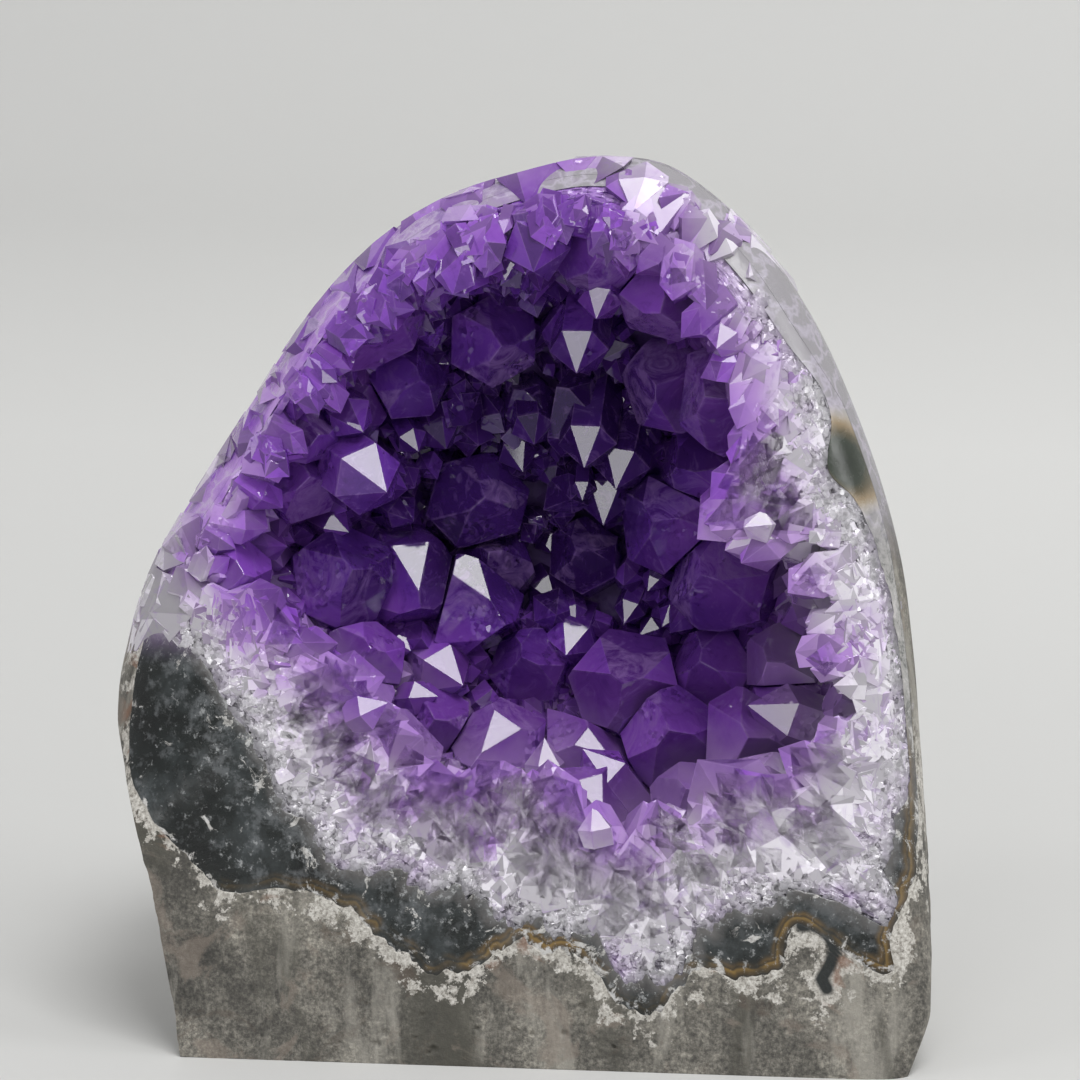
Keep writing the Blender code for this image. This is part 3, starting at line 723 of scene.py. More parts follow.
def polished_chalcedony(colours):
    """Chalcedony ground and polished: glassy, green-black and cloudy, with a gold-brown line along
    the rock, smoky brown towards the quartz, and white flecks and patches of crystal."""
    material, tree = start_material("polished chalcedony")
    at = object_point(tree)
    edge, inner, gem, low = (read(tree, name) for name in ("edge_mm", "inner_mm", "gem", "low"))
    cloud, fleck = mottle(tree, at, 130, 7, 0.66), mottle(tree, at, 800, 6, 0.75)
    patch, shift = mottle(tree, at, 280, 8, 0.74, 0.6), mottle(tree, at, 210, 3)
    dark = colours.chalcedony
    near = fade(tree, inner, 0.0, 11.0, 1.0, 0.0)
    colour = ramp(tree, sum_of(tree, near, 0.06, cloud), (0.38, scaled(dark, 0.45)), (0.50, dark),
                  (0.62, "#323738"), (0.76, "#54595B"))
    smoke = fade(tree, sum_of(tree, patch, 5.0, inner), 2.4, 4.6, 0.8, 0.0)
    murk = fade(tree, sum_of(tree, near, 0.10, mottle(tree, at, 420, 7, 0.74)), 0.55, 0.68, 0.0, 0.4)
    murk = times(tree, murk, fade(tree, read(tree, "gold"), 0.5, 1.0, 1.0, 0.25))
    along = sum_of(tree, shift, 1.8, edge)
    lined = ramp(tree, fade(tree, along, 0.9, 3.1), (0.0, "#2F2A22"), (0.22, "#5A4726"),
                 (0.40, "#8A6E38"), (0.52, "#40341F"), (0.66, "#6A5430"), (1.0, "#1F2321"))
    gold = times(tree, fade(tree, mottle(tree, at, 95, 3), 0.40, 0.50, 0.1, 1.0), read(tree, "gold"))
    gold = times(tree, fade(tree, along, 2.4, 3.1, 0.95, 0.0), gold)
    sugar = fade(tree, sum_of(tree, near, 0.10, patch), 0.665, 0.69)
    clay = fade(tree, sum_of(tree, edge, -0.06, patch), 0.51, 0.55)
    sugar = add(tree, "Math", {0: sugar, 1: times(tree, clay, low)}, operation="MAXIMUM").outputs[0]
    snow = ramp(tree, fleck, (0.40, "#7E7C7A"), (0.50, "#BCBAB6"), (0.60, "#DAD8D6"))
    flecks = times(tree, fade(tree, sum_of(tree, near, 0.05, fleck), 0.60, 0.68), 0.7)
    pale = ramp(tree, patch, (0.40, "#5E605E"), (0.48, "#A3A29F"), (0.60, "#BDBAB9"))
    eye = sum_of(tree, cloud, 2.0, read(tree, "eye_mm"))
    rings = ramp(tree, fade(tree, eye, 0.0, EYE_RADIUS + 3.0), (0.0, "#232823"), (0.50, "#3C423A"),
                 (0.62, "#5F5847"), (0.74, "#94836A"), (1.0, "#C9C5BD"))
    colour = coats(
        tree, colour, (smoke, "#6B6867"), (murk, "#84878A"), (gold, lined), (times(tree, sugar, 0.9), snow),
        (flecks, "#A3A5A6"), (fade(tree, low, 0.2, 1.0, 0.9, 0.0), pale),
        (gem, cut_crystal(tree, at, colours)),
        (fade(tree, eye, EYE_RADIUS + 1.6, EYE_RADIUS + 3.0, 1.0, 0.0), rings))
    matt = add(tree, "Math", {0: sugar, 1: flecks}, operation="MAXIMUM").outputs[0]
    bump = add(tree, "Bump", {"Height": patch, "Strength": 0.25, "Distance": 0.0004})
    principled(tree, {
        "Base Color": colour, "Roughness": fade(tree, matt, 0.0, 1.0, 0.13, 0.4), "IOR": 1.54,
        "Normal": bump.outputs["Normal"]})
    return material


def sugary_quartz(name, colours):
    """Milky quartz cut across its grain: white to water-clear grains, each turned its own way, so
    the rim glitters. Deep in the hollow the same bed is stained dark purple."""
    material, tree = start_material(name)
    at = object_point(tree)
    depth = read(tree, "rim_mm")
    along = add(tree, "Attribute", attribute_name="fibre").outputs["Vector"]
    column, grain = mottle(tree, along, 420, 6, 0.7, 0.6), mottle(tree, at, 1400, 4, 0.7)
    lilac = mottle(tree, at, 120, 3)
    white = colours.quartz
    colour = ramp(tree, column, (0.34, "#77727F"), (0.46, scaled(white, 0.7)), (0.58, white))
    colour = blend(tree, 0.6, colour, ramp(tree, grain, (0.35, grey(0.55)), (0.65, grey(1.25))), "MULTIPLY")
    thin = fade(tree, sum_of(tree, column, 5.0, read(tree, "outer_mm")), 2.3, 4.0, 0.6, 0.0)
    past = sum_of(tree, column, 6.0, depth)
    stain = fade(tree, past, 17.0, 30.0)
    colour = coats(
        tree, colour, (fade(tree, lilac, 0.45, 0.7, 0.0, 0.5), colours.lilac), (thin, "#69686E"),
        (fade(tree, past, 4.0, 12.0, 0.0, 0.9), colours.lilac),
        (fade(tree, past, 12.0, 20.0), colours.purple), (stain, scaled(colours.deep, 0.4)))
    smooth = add(tree, "NewGeometry").outputs["Normal"]
    normal = blend(tree, fade(tree, stain, 0.0, 1.0, 0.0, 0.8), glitter(tree, at, 1500, 1.3), smooth)
    principled(tree, {
        "Base Color": colour, "Roughness": fade(tree, stain, 0.0, 1.0, 0.09, 0.6), "IOR": 1.54,
        "Coat Weight": fade(tree, stain, 0.0, 0.5, 0.5, 0.0), "Coat Roughness": 0.06,
        "Subsurface Weight": 0.2, "Subsurface Radius": (1.0, 0.9, 1.0), "Subsurface Scale": 0.001,
        "Normal": normal})
    return material


def amethyst(name, colours, clarity):
    """Grown amethyst, unpolished: glassy flat faces, colour in zones that deepen from milky white
    at the root through lilac to purple in the hollow, cloudy veils and glittering healed cracks."""
    material, tree = start_material(name)
    at = object_point(tree)
    depth, own, facet_shade = read(tree, "rim_mm"), read(tree, "own"), read(tree, "facet_shade")
    zone, veil = mottle(tree, at, 130, 4, 0.55), mottle(tree, at, 230, 7, 0.68, 1.8)
    moved = sum_of(tree, own, 9.0, sum_of(tree, zone, 12.0, depth))
    colour = ramp(tree, fade(tree, moved, 8.0, 50.0), (0.0, colours.quartz), (0.10, "#E2D6EC"),
                  (0.22, colours.lilac), (0.42, colours.purple), (0.72, colours.deep), (1.0, "#482577"))
    # Painted light and shade: each face is darkened or lightened, from 0.62 to 1.4 times, by its own random
    # number, as though it caught more or less light.
    colour = blend(tree, 1.0, colour, ramp(tree, facet_shade, (0.0, grey(0.62)), (1.0, grey(1.40))), "MULTIPLY")
    # Painted highlight: lilac laid over each face near its corners and edges, up to four tenths, more where the
    # veil noise is high.
    edge = times(tree, fade(tree, read(tree, "edge"), 0.90, 1.0), fade(tree, veil, 0.40, 0.6, 0.0, 0.4))
    murky = times(tree, fade(tree, veil, 0.30, 0.48, 0.65, 0.0), fade(tree, moved, 20.0, 36.0))
    colour = coats(tree, colour, (edge, colours.lilac), (fade(tree, veil, 0.54, 0.72, 0.0, 0.42), "#AE82DA"),
                   (murky, scaled(colours.deep, 0.38)))
    healed = sum_of(tree, fade(tree, depth, 0.0, 14.0, 1.0, 0.0), 0.05, mottle(tree, at, 180, 3, 0.5))
    cracks = times(tree, fade(tree, healed, 0.55, 0.60), fade(tree, facet_shade, 0.30, 0.31))
    faces = add(tree, "NewGeometry").outputs["Normal"]
    normal = blend(tree, cracks, faces, glitter(tree, at, 1500, 0.8))
    principled(tree, {
        "Base Color": colour, "Roughness": 0.035, "IOR": 1.56, "Transmission Weight": clarity,
        "Normal": normal})
    return material


# ---------------------------------------------------------------- crystals


def crystal_field(name, seats, axes, radius, length, own, draw, ragged, sides=None, uneven=1.0, cut=True):
    """Many six-sided points at once. Each is a hexagon carried along its axis to a shoulder whose
    corners stand high and low by turns, then drawn in to a tip a little off the axis. Sides point
    from the axes to a corner, uneven says how far each crystal strays from a regular one, and cut
    whether the ground outside cuts off what stands out of it."""
    count = len(seats)
    uneven = np.broadcast_to(uneven, count)[:, None]
    if sides is None:
        sides = any_sides(axes, draw)
    third = np.cross(axes, sides)
    turn = np.arange(6) * math.pi / 3
    spoke = np.cos(turn)[:, None] * sides[:, None] + np.sin(turn)[:, None] * third[:, None]
    spoke = spoke * (radius[:, None] * (1 + uneven * draw.normal(0, 0.09, (count, 6))))[..., None]
    stray = draw.normal(0, 0.15, (count, 6)) + 0.30 * (-1.0) ** np.arange(6)
    drop = radius[:, None] * (POINT_RISE + uneven * stray)
    high = seats[:, None] + spoke + axes[:, None] * np.maximum(length[:, None] - drop, 0.05)[..., None]
    lean = draw.normal(0, 0.13, (2, count, 1)) * uneven
    tip = seats + axes * length[:, None] + (lean[0] * sides + lean[1] * third) * radius[:, None]
    points = np.concatenate([seats[:, None] + spoke, high, tip[:, None], seats[:, None]], axis=1)
    if cut:
        points = ground(points)
    k = np.arange(6)
    n = (k + 1) % 6
    sides_at = np.stack([k, n, 6 + n, 6 + k], -1)
    tips_at = np.stack([6 + k, 6 + n, np.full(6, 12)], -1)
    foot_at = np.stack([n, k, np.full(6, 13)], -1)
    fans = []
    hearts = []
    for faces in (sides_at, tips_at):
        heart = CRYSTAL_CORNERS + 6 * len(hearts) + k
        hub = np.broadcast_to(heart[:, None], faces.shape)
        fans.append(np.stack([faces, np.roll(faces, -1, 1), hub], -1))
        hearts.append(points[:, faces].mean(axis=2))
    points = np.concatenate([points, *hearts], axis=1)
    triangles = np.concatenate([*(fan.reshape(-1, 3) for fan in fans), foot_at])
    flat = points.reshape(-1, 3)
    triangles = (CRYSTAL_POINTS * np.arange(count)[:, None, None] + triangles).reshape(-1, 3)
    made = new_mesh(name, flat, np.zeros((0, 4), int), triangles, False)
    attribute(made, "rim_mm", rim_depth(flat, ragged))
    attribute(made, "outer_mm", beyond_bed(flat, ragged))
    attribute(made, "own", np.repeat(own, CRYSTAL_POINTS))
    # Corners carry 1 and the middles of faces 0, so the finish can paint a highlight along the edges.
    attribute(made, "edge", np.tile(np.arange(CRYSTAL_POINTS) < CRYSTAL_CORNERS, count))
    of_face = np.concatenate([np.repeat(k, 4), np.repeat(6 + k, 3), 12 + k])
    # Each face's own number sets its painted light or shade and whether it shows healed cracks; the face that
    # flashes gets 0, the deepest painted shade and no cracks.
    facet_shade = draw.uniform(size=(count, 18))
    facet_shade[:, FLASHING_FACE] = 0.0
    attribute(made, "facet_shade", facet_shade[:, of_face], domain="FACE")
    return made


def bed_points(angles, latitude, ragged):
    """Points on the bowl of the bed, and the directions from them into the hollow. Latitude runs
    from 0 at the rim to 1 at the pole."""
    edge = bed_edge(angles, ragged)
    turn = 0.5 * math.pi * latitude
    share = np.sin(turn)
    y = front_y(angles, edge) * (1 - share) + pole_y(BED_DEPTH) * share
    across, up = np.cos(angles) * np.cos(turn), np.sin(angles) * np.cos(turn)
    return ring(angles, edge * np.cos(turn), y), unit(np.stack([-across, -1.1 * share - 0.30, -up], -1))


def toward(azimuth, elevation):
    """Unit vector from the piece towards a viewer or lamp. Azimuth turns from the front to +x."""
    a, e = math.radians(azimuth), math.radians(elevation)
    return Vector((math.sin(a) * math.cos(e), -math.cos(a) * math.cos(e), math.sin(e)))


def search_tree(meshes):
    """One search tree over meshes of triangles."""
    points, corners, start = [], [], 0
    for mesh in meshes:
        place, corner = np.empty(3 * len(mesh.vertices), np.float32), np.empty(len(mesh.loops), np.int32)
        mesh.vertices.foreach_get("co", place)
        mesh.loops.foreach_get("vertex_index", corner)
        points.append(place.reshape(-1, 3))
        corners.append(corner.reshape(-1, 3) + start)
        start += len(mesh.vertices)
    return BVHTree.FromPolygons(np.concatenate(points).tolist(), np.concatenate(corners).tolist())


def cad_meshes(*starts):
    """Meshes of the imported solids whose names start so."""
    return [node.data for name, node in sorted(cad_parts.items()) if name.startswith(starts)]


def display_foot():
    """Where the front face meets the floor, in the frame's millimetres."""
    return Vector((0, FRONT_Y, 0)) + Vector(FOOTING)


def display_frame():
    """The display's eye in metres, and the directions across and up its picture plane."""
    view = toward(DISPLAY_AZIMUTH, DISPLAY_ELEVATION)
    turn = math.radians(DISPLAY_AZIMUTH)
    right = Vector((math.cos(turn), math.sin(turn), 0))
    up = view.cross(right)
    middle = display_foot() + right * DISPLAY_MIDDLE[0] + up * DISPLAY_MIDDLE[1]
    return (middle + view * DISPLAY_DISTANCE) * MM, right, up


def flash_direction(lamp="overhead softbox"):
    """The way a face must look to throw a lamp at the display's eye."""
    return (toward(DISPLAY_AZIMUTH, DISPLAY_ELEVATION) + toward(*LAMPS[lamp][:2])).normalized()


def unlit(places, tree):
    """Whether something stands between each place and the overhead softbox."""
    way = toward(*LAMPS["overhead softbox"][:2])
    return np.array([bool(tree.ray_cast(Vector(place), way)[0]) for place in (places + FOOTING) * MM])


def turned_to_flash(inward, shaded):
    """Axes, corner directions and facings of crystals that turn one face of their point to throw a
    lamp at the display's eye, while they lean as near as they can to inward. Those shaded from the
    overhead softbox turn to the front window."""
    flash = np.where(shaded[:, None], flash_direction("front window"), flash_direction())
    off_axis = math.atan2(POINT_RISE, math.cos(math.pi / 6))
    across = unit(inward - np.sum(inward * flash, -1, keepdims=True) * flash)
    axes = math.cos(off_axis) * flash + math.sin(off_axis) * across
    facing = unit(flash - np.sum(axes * flash, -1, keepdims=True) * axes)
    turn = math.pi / 6
    return axes, math.cos(turn) * facing + math.sin(turn) * np.cross(axes, facing), facing


def clear_of_standing(seats, axes, sides, radius, length, allowance):
    """Whether each crystal leaves the eye a clear sight of every standing crystal that lies within
    the allowance behind it. Its tip, its middle and both its flanks are tried."""
    tree = search_tree(cad_meshes("amethyst_"))
    away = -toward(DISPLAY_AZIMUTH, DISPLAY_ELEVATION)
    clear = np.ones(len(seats), bool)
    for share, aside in ((1.0, 0.0), (0.75, 0.0), (0.75, 0.9), (0.75, -0.9)):
        probes = seats + axes * (share * length)[:, None] + sides * (aside * radius)[:, None]
        for i, probe in enumerate((probes + FOOTING) * MM):
            clear[i] &= not tree.ray_cast(Vector(probe), away, allowance * MM)[0]
    return clear


def any_sides(axes, draw):
    """A random direction at right angles to each axis."""
    return unit(np.cross(axes, unit(draw.normal(size=axes.shape))))


# ---------------------------------------------------------------- operators


class GEODE_OT_rock(bpy.types.Operator):
    """Makes the basalt: ground outside, sawn foot and base"""
    bl_idname = "geode.rock"
    bl_label = "Basalt"

    def execute(self, context):
        ragged = context.scene.geode_sizes.ragged / MM
        angles = around()
        edge, full = rock_edge(angles, ragged), nodule_radius(angles)
        floor = np.where(np.sin(angles) < -0.05, AXIS_HEIGHT / np.maximum(-np.sin(angles), 0.05), 1e4)
        front = face_rows(angles, edge, np.minimum(full, floor), ROCK_ROWS)
        front = np.concatenate([ring(angles, edge, front_y(angles, edge))[None], front])
        share = (np.arange(1, 47) / 47)[:, None] ** 0.9
        girth = np.interp(share, [0, 0.12, 0.26, 0.42, 0.57, 0.71, 0.83, 0.92, 0.975, 1],
                          [1, 1, 0.995, 0.97, 0.915, 0.82, 0.68, 0.50, 0.28, 0.0])
        closing = np.sqrt(np.clip(1 - ((share - 0.30) / 0.70) ** 2.6, 0, 1)) ** 0.95
        girth = np.where(share > 0.42, closing, girth)
        hollows = 2 - np.sin(3 * angles + 9 * share) - np.sin(5 * angles - 6 * share + 1)
        lumps = 1 - 0.018 * np.sin(math.pi * share) * hollows
        crest = 1 - CREST_FALL * swing(angles, 80, 110) * ease(2.5 * share)
        radius = np.minimum(full * girth * lumps * crest, floor)
        back = ring(np.broadcast_to(angles, radius.shape), radius,
                    front_y(angles, full) * (1 - share) + pole_y(BACK_DEPTH) * share)
        bumps = np.clip(share * 6, 0, 1)[..., None]
        away = unit(back - np.array([0, -8, AXIS_HEIGHT]))
        relief = 0.45 * rough(back, 9, 21) + 0.22 * rough(back, 2.4, 31) - pits(back, 5, 1.1, 0.5, 41) - 0.45
        back = back + away * np.minimum(relief, 0)[..., None] * bumps
        back[..., 2] = np.maximum(back[..., 2], 0)
        foot = swing(angles, -90, 62)
        sawn = 0.16 * rough(front * (1, 1, 0.2), 1.6, 51) + 0.10 * rough(front, 0.9, 61)
        sawn = np.abs(sawn) + pits(front, 2.2, 0.55, 0.45, 71) * (0.2 + 0.8 * foot)
        sawn = sawn * np.clip(np.arange(ROCK_ROWS + 1)[:, None] / 5, 0, 1)
        front[..., 1] += sawn * (1 - 0.9 * gem_share(angles))
        front = sunk(front, angles)
        broken = swing(angles, 212, 30)
        front_outer = (np.arange(ROCK_ROWS + 1)[:, None] / ROCK_ROWS) ** 8
        front = chipped(front, broken * front_outer)
        back = chipped(back, broken * (1 - ease(share * 2)))
        rows = np.concatenate([bowl_rows(angles, edge, ROCK_DEPTH, BOWL_ROWS)[:0:-1], front, back])
        made = grid_mesh("basalt_rock", rows, (0, pole_y(ROCK_DEPTH), AXIS_HEIGHT),
                         (0, pole_y(BACK_DEPTH), AXIS_HEIGHT))
        outward(made)
        distance = np.full(rows.shape[:2], 50.0)
        hook = polyline_distance(front, np.array(HOOK)) - HOOK_HALF_WIDTH
        front_start, back_start = BOWL_ROWS - 1, BOWL_ROWS + ROCK_ROWS
        distance[front_start:back_start] = np.minimum(polyline_distance(front, edge_line(angles, edge)), hook)
        attribute(made, "edge_mm", capped(distance, 50.0))
        attribute(made, "low", capped(np.broadcast_to(low_share(angles), distance.shape), 0))
        lip = np.ones(rows.shape[:2])
        lip[back_start:] = 1 - ease((share - 0.05) / 0.12)
        attribute(made, "gem", capped(lip * cut_share(angles), 0))
        settle(made, sawn_basalt(context.scene.geode_colours), "basalt", "basalt_matrix")
        return {"FINISHED"}


def edge_line(angles, edge):
    """Every second point of an edge, as a closed line in x and z."""
    line = np.stack([edge * np.cos(angles), AXIS_HEIGHT + edge * np.sin(angles)], -1)[::2]
    return np.concatenate([line, line[:1]])


def capped(values, pole):
    """Values of a grid's rows with one more for each of its two poles."""
    return np.concatenate([[pole], values.ravel(), [pole]])


class GEODE_OT_band(bpy.types.Operator):
    """Makes the chalcedony band between the rock and the quartz"""
    bl_idname = "geode.band"
    bl_label = "Chalcedony"

    def execute(self, context):
        ragged = context.scene.geode_sizes.ragged / MM
        angles = around()
        outer, inner = rock_edge(angles, ragged) - SEAM, band_edge(angles, ragged)
        front = face_rows(angles, inner, outer, BAND_ROWS)
        front[..., 1] += 0.05 * np.abs(rough(front, 3, 81))
        front = sunk(front, angles)
        rows = np.concatenate([bowl_rows(angles, inner, BAND_DEPTH, BOWL_ROWS)[:0:-1], front,
                               bowl_rows(angles, outer, ROCK_DEPTH - SEAM, BOWL_ROWS)[1:]])
        made = grid_mesh("chalcedony_lining", rows, (0, pole_y(BAND_DEPTH), AXIS_HEIGHT),
                         (0, pole_y(ROCK_DEPTH) - SEAM, AXIS_HEIGHT))
        outward(made)
        start = BOWL_ROWS - 1
        for name, edge in (("edge_mm", outer), ("inner_mm", inner)):
            distance = np.full(rows.shape[:2], 20.0)
            distance[start:start + BAND_ROWS] = polyline_distance(front, edge_line(angles, edge))
            attribute(made, name, capped(distance, 20.0))
        for name, share in (("gem", cut_share(angles)), ("low", low_share(angles)),
                            ("gold", swing(angles, -75, 75) ** 0.5)):
            attribute(made, name, capped(np.broadcast_to(share, rows.shape[:2]), 0))
        across, up = (rows[..., k] - EYE[k // 2] for k in (0, 2))
        attribute(made, "eye_mm", capped(np.hypot(1.1 * across + 0.5 * up, 0.8 * up), 50.0))
        settle(made, polished_chalcedony(context.scene.geode_colours), "chalcedony", "chalcedony_band")
        return {"FINISHED"}


class GEODE_OT_bed(bpy.types.Operator):
    """Makes the quartz bed: its sugary rim and the bowl that the crystals grow from"""
    bl_idname = "geode.bed"
    bl_label = "Quartz bed"

    def execute(self, context):
        ragged = context.scene.geode_sizes.ragged / MM
        angles = around()
        outer, inner = band_edge(angles, ragged) - SEAM, bed_edge(angles, ragged)
        front = face_rows(angles, inner, outer, BED_ROWS)
        grit = facets(front, 1.3, 91, 0.45) + facets(front, 0.6, 97, 0.2)
        front[..., 1] += (np.abs(grit) + 0.05) * np.clip(np.arange(BED_ROWS, 0, -1)[:, None] / 5, 0, 1)
        front = sunk(front, angles)
        bowl = bowl_rows(angles, inner, BED_DEPTH, 40)
        relief = 0.6 * rough(bowl[1:], 4, 101) - 0.5
        bowl[1:] += unit(np.array([0, -20, AXIS_HEIGHT]) - bowl[1:]) * relief[..., None]
        outside = bowl_rows(angles, outer, BAND_DEPTH - SEAM, BOWL_ROWS)[1:]
        rows = np.concatenate([bowl[:0:-1], front, outside])
        made = grid_mesh("quartz_druse_bed", rows, (0, pole_y(BED_DEPTH), AXIS_HEIGHT),
                         (0, pole_y(BAND_DEPTH) - SEAM, AXIS_HEIGHT), smooth=False)
        outward(made)
        attribute(made, "rim_mm", capped(rim_depth(rows, ragged), 40.0))
        attribute(made, "outer_mm", capped(beyond_bed(rows, ragged), 40.0))
        turn, radius = polar(rows)
        fibre = np.stack([45 * np.cos(turn), 45 * np.sin(turn), 0.22 * radius], -1).reshape(-1, 3)
        fibre = np.concatenate([np.zeros((1, 3)), fibre, np.zeros((1, 3))]) * MM
        attribute(made, "fibre", fibre, kind="FLOAT_VECTOR", field="vector")
        settle(made, sugary_quartz("sugary quartz", context.scene.geode_colours), "quartz", "quartz_bed")
        return {"FINISHED"}


def standing_names():
    """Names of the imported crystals."""
    return sorted(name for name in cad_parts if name.startswith("amethyst_"))


class GEODE_OT_standing(bpy.types.Operator):
    """Finishes the large standing crystals, one piece for each, with worn edges"""
    bl_idname = "geode.standing"
    bl_label = "Standing crystals"

    def execute(self, context):
        finish = amethyst("standing amethyst", context.scene.geode_colours, 0.4)
        ragged = context.scene.geode_sizes.ragged / MM
        draw = np.random.default_rng(7)
        flash = flash_direction()
        for name in standing_names():
            mesh = bmesh.new()
            mesh.from_mesh(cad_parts[name].data)
            bmesh.ops.remove_doubles(mesh, verts=mesh.verts, dist=2e-6)
            bmesh.ops.dissolve_limit(mesh, angle_limit=math.radians(1), verts=mesh.verts, edges=mesh.edges)
            # Each face's own number sets its painted light or shade; faces turned to the flash get 0.
            facet_shade = mesh.faces.layers.float.new("facet_shade")
            for face, value in zip(mesh.faces, draw.uniform(size=len(mesh.faces))):
                face[facet_shade] = value * (face.normal.dot(flash) < 0.97)
            corners = len(mesh.verts)
            bmesh.ops.poke(mesh, faces=mesh.faces)
            made = bpy.data.objects.new(name + "_point", bpy.data.meshes.new(name + "_point"))
            mesh.to_mesh(made.data)
            mesh.free()
            context.scene.collection.objects.link(made)
            points = np.array([v.co for v in made.data.vertices]) / MM - FOOTING
            attribute(made, "rim_mm", rim_depth(points, ragged))
            attribute(made, "own", np.full(len(points), draw.uniform()))
            # Corners carry 1 and the poked middles 0, for the painted highlight along the edges.
            attribute(made, "edge", (np.arange(len(points)) < corners).astype(float))
            worn = made.modifiers.new("worn edges", "BEVEL")
            worn.width = context.scene.geode_sizes.crystal_bevel
            worn.segments = 1
            worn.limit_method = "ANGLE"
            settle(made, finish, "amethyst", name)
        return {"FINISHED"}


class GEODE_OT_lesser(bpy.types.Operator):
    """Grows the lesser crystals that fill the hollow between the standing ones"""
    bl_idname = "geode.lesser"
    bl_label = "Lesser crystals"

    def execute(self, context):
        sizes = context.scene.geode_sizes
        ragged = sizes.ragged / MM
        count = sizes.druse_count
        draw = np.random.default_rng(12)
        order = (np.arange(count) + 0.5) / count
        latitude = np.clip(np.arcsin(order) * 2 / math.pi + draw.normal(0, 0.012, count), 0, 0.99)
        angles = np.arange(count) * 2.399963 + draw.normal(0, 0.05, count)
        seats, inward = bed_points(angles, latitude, ragged)
        axes = unit(inward + draw.normal(0, 0.26, (count, 3)))
        sides = any_sides(axes, draw)
        shaded = unlit(seats + 6 * inward, search_tree(cad_meshes("quartz_bed")))
        flash_axes, flash_sides, _ = turned_to_flash(inward, shaded)
        fit = np.sum(flash_axes * inward, axis=-1)
        flashing = (fit > 0.62) & (draw.uniform(size=count) < sizes.flashing) & (latitude > 0.12)
        axes = np.where(flashing[:, None], flash_axes, axes)
        sides = np.where(flashing[:, None], flash_sides, sides)
        radius = sizes.druse_radius / MM * (0.60 + 0.95 * draw.uniform(size=count) ** 1.5)
        length = radius * (2.3 + 1.2 * draw.uniform(size=count)) + 2.5
        seats = seats - axes * 1.5
        keep = clear_of_standing(seats, axes, sides, radius, length, 15.0)
        made = crystal_field("lesser_crystals", seats[keep], axes[keep], radius[keep], length[keep],
                             draw.uniform(size=count)[keep], draw, ragged, sides[keep],
                             np.where(flashing, 0.12, 1.0)[keep])
        finish = amethyst("lesser amethyst", context.scene.geode_colours, 0.35)
        settle(made, finish, "amethyst")
        count = sizes.fill_count
        latitude = np.arcsin(draw.uniform(0, 0.98, count)) * 2 / math.pi
        seats, inward = bed_points(draw.uniform(-math.pi, math.pi, count), latitude, ragged)
        radius = sizes.druse_radius / MM * draw.uniform(0.35, 0.8, count)
        length = radius * draw.uniform(2.0, 3.2, count) + 0.6
        axes = unit(inward + draw.normal(0, 0.3, (count, 3)))
        clear = clear_of_standing(seats, axes, any_sides(axes, draw), radius, length, 15.0)
        length = np.where(clear | (latitude < 0.06), length, 0.55 * length)
        made = crystal_field("fill_crystals", seats, axes, radius, length, draw.uniform(size=count),
                             draw, ragged)
        settle(made, finish, "amethyst")
        return {"FINISHED"}


# Crystals whose face throws the softbox at the display's eye: where that face stands, across and up
# the display's plane, and the crystal's radius.
MIRRORS = (
    (-27.7, 85.8, 3.4), (2.4, 94.9, 4.0), (5.2, 101.1, 3.0), (3.5, 82.5, 4.0),
    (-3.7, 84.5, 3.0), (3.1, 76.2, 1.8), (-20.7, 73.3, 2.6), (-29.3, 71.4, 2.4), (-1.4, 69.4, 2.2),
    (-1.7, 63.1, 2.8), (-18.1, 49.5, 2.6), (6.1, 39.9, 4.0), (5.2, 32.6, 2.7), (28.8, 46.5, 4.6),
    (21.8, 96.3, 2.6), (26.4, 72.0, 2.6), (-1.4, 41.0, 3.0), (-24.9, 47.8, 2.8), (12.0, 58.0, 2.0),
)


class GEODE_OT_mirrors(bpy.types.Operator):
    """Grows the crystals that flash: each stands a little in front of what the eye sees there"""
    bl_idname = "geode.mirrors"
    bl_label = "Flashing crystals"

    def execute(self, context):
        eye, right, up = display_frame()
        fields = ("lesser_crystals", "fill_crystals", "flush_crystals", *(field[0] for field in RIM_FIELDS))
        grown = [bpy.data.objects[name].data for name in fields]
        tree = search_tree(cad_meshes("amethyst_", "quartz_bed") + grown)
        places, radius, stem = [], [], []
        for across, height, size in MIRRORS:
            mark = (display_foot() + right * across + up * height) * MM
            sight = (mark - eye).normalized()
            hit = tree.ray_cast(eye, sight)[0]
            if hit:
                spot = np.array(hit) / MM - FOOTING
                behind = spot[1] - front_y(*polar(spot))
                places.append(spot - size * (0.25 + 0.07 * min(behind, 8.0)) * np.array(sight))
                radius.append(size)
                stem.append(2.0 + 0.25 * min(behind, 8.0))
        places, radius = np.array(places), np.array(radius)
        draw = np.random.default_rng(43)
        inward = unit(np.array([0.0, -25.0, AXIS_HEIGHT]) - places)
        axes, sides, facing = turned_to_flash(inward, unlit(places, tree))
        length = np.array(stem) * radius
        seats = places - axes * (length - 0.75 * radius)[:, None] - facing * (0.577 * radius)[:, None]
        ragged = context.scene.geode_sizes.ragged / MM
        made = crystal_field("mirror_crystals", seats, axes, radius, length,
                             draw.uniform(size=len(radius)), draw, ragged, sides, 0.10, cut=False)
        settle(made, amethyst("mirror amethyst", context.scene.geode_colours, 0.35), "amethyst")
        return {"FINISHED"}


# Crystals along the rim: how many, how far out over the bed's width and how far in past its edge
# they stand, and their radii.
RIM_FIELDS = (
    ("rim_columns", 380, 0.35, 8.0, 2.2, 4.2),
    ("rim_points", 480, 0.75, 1.5, 0.8, 1.8),
)


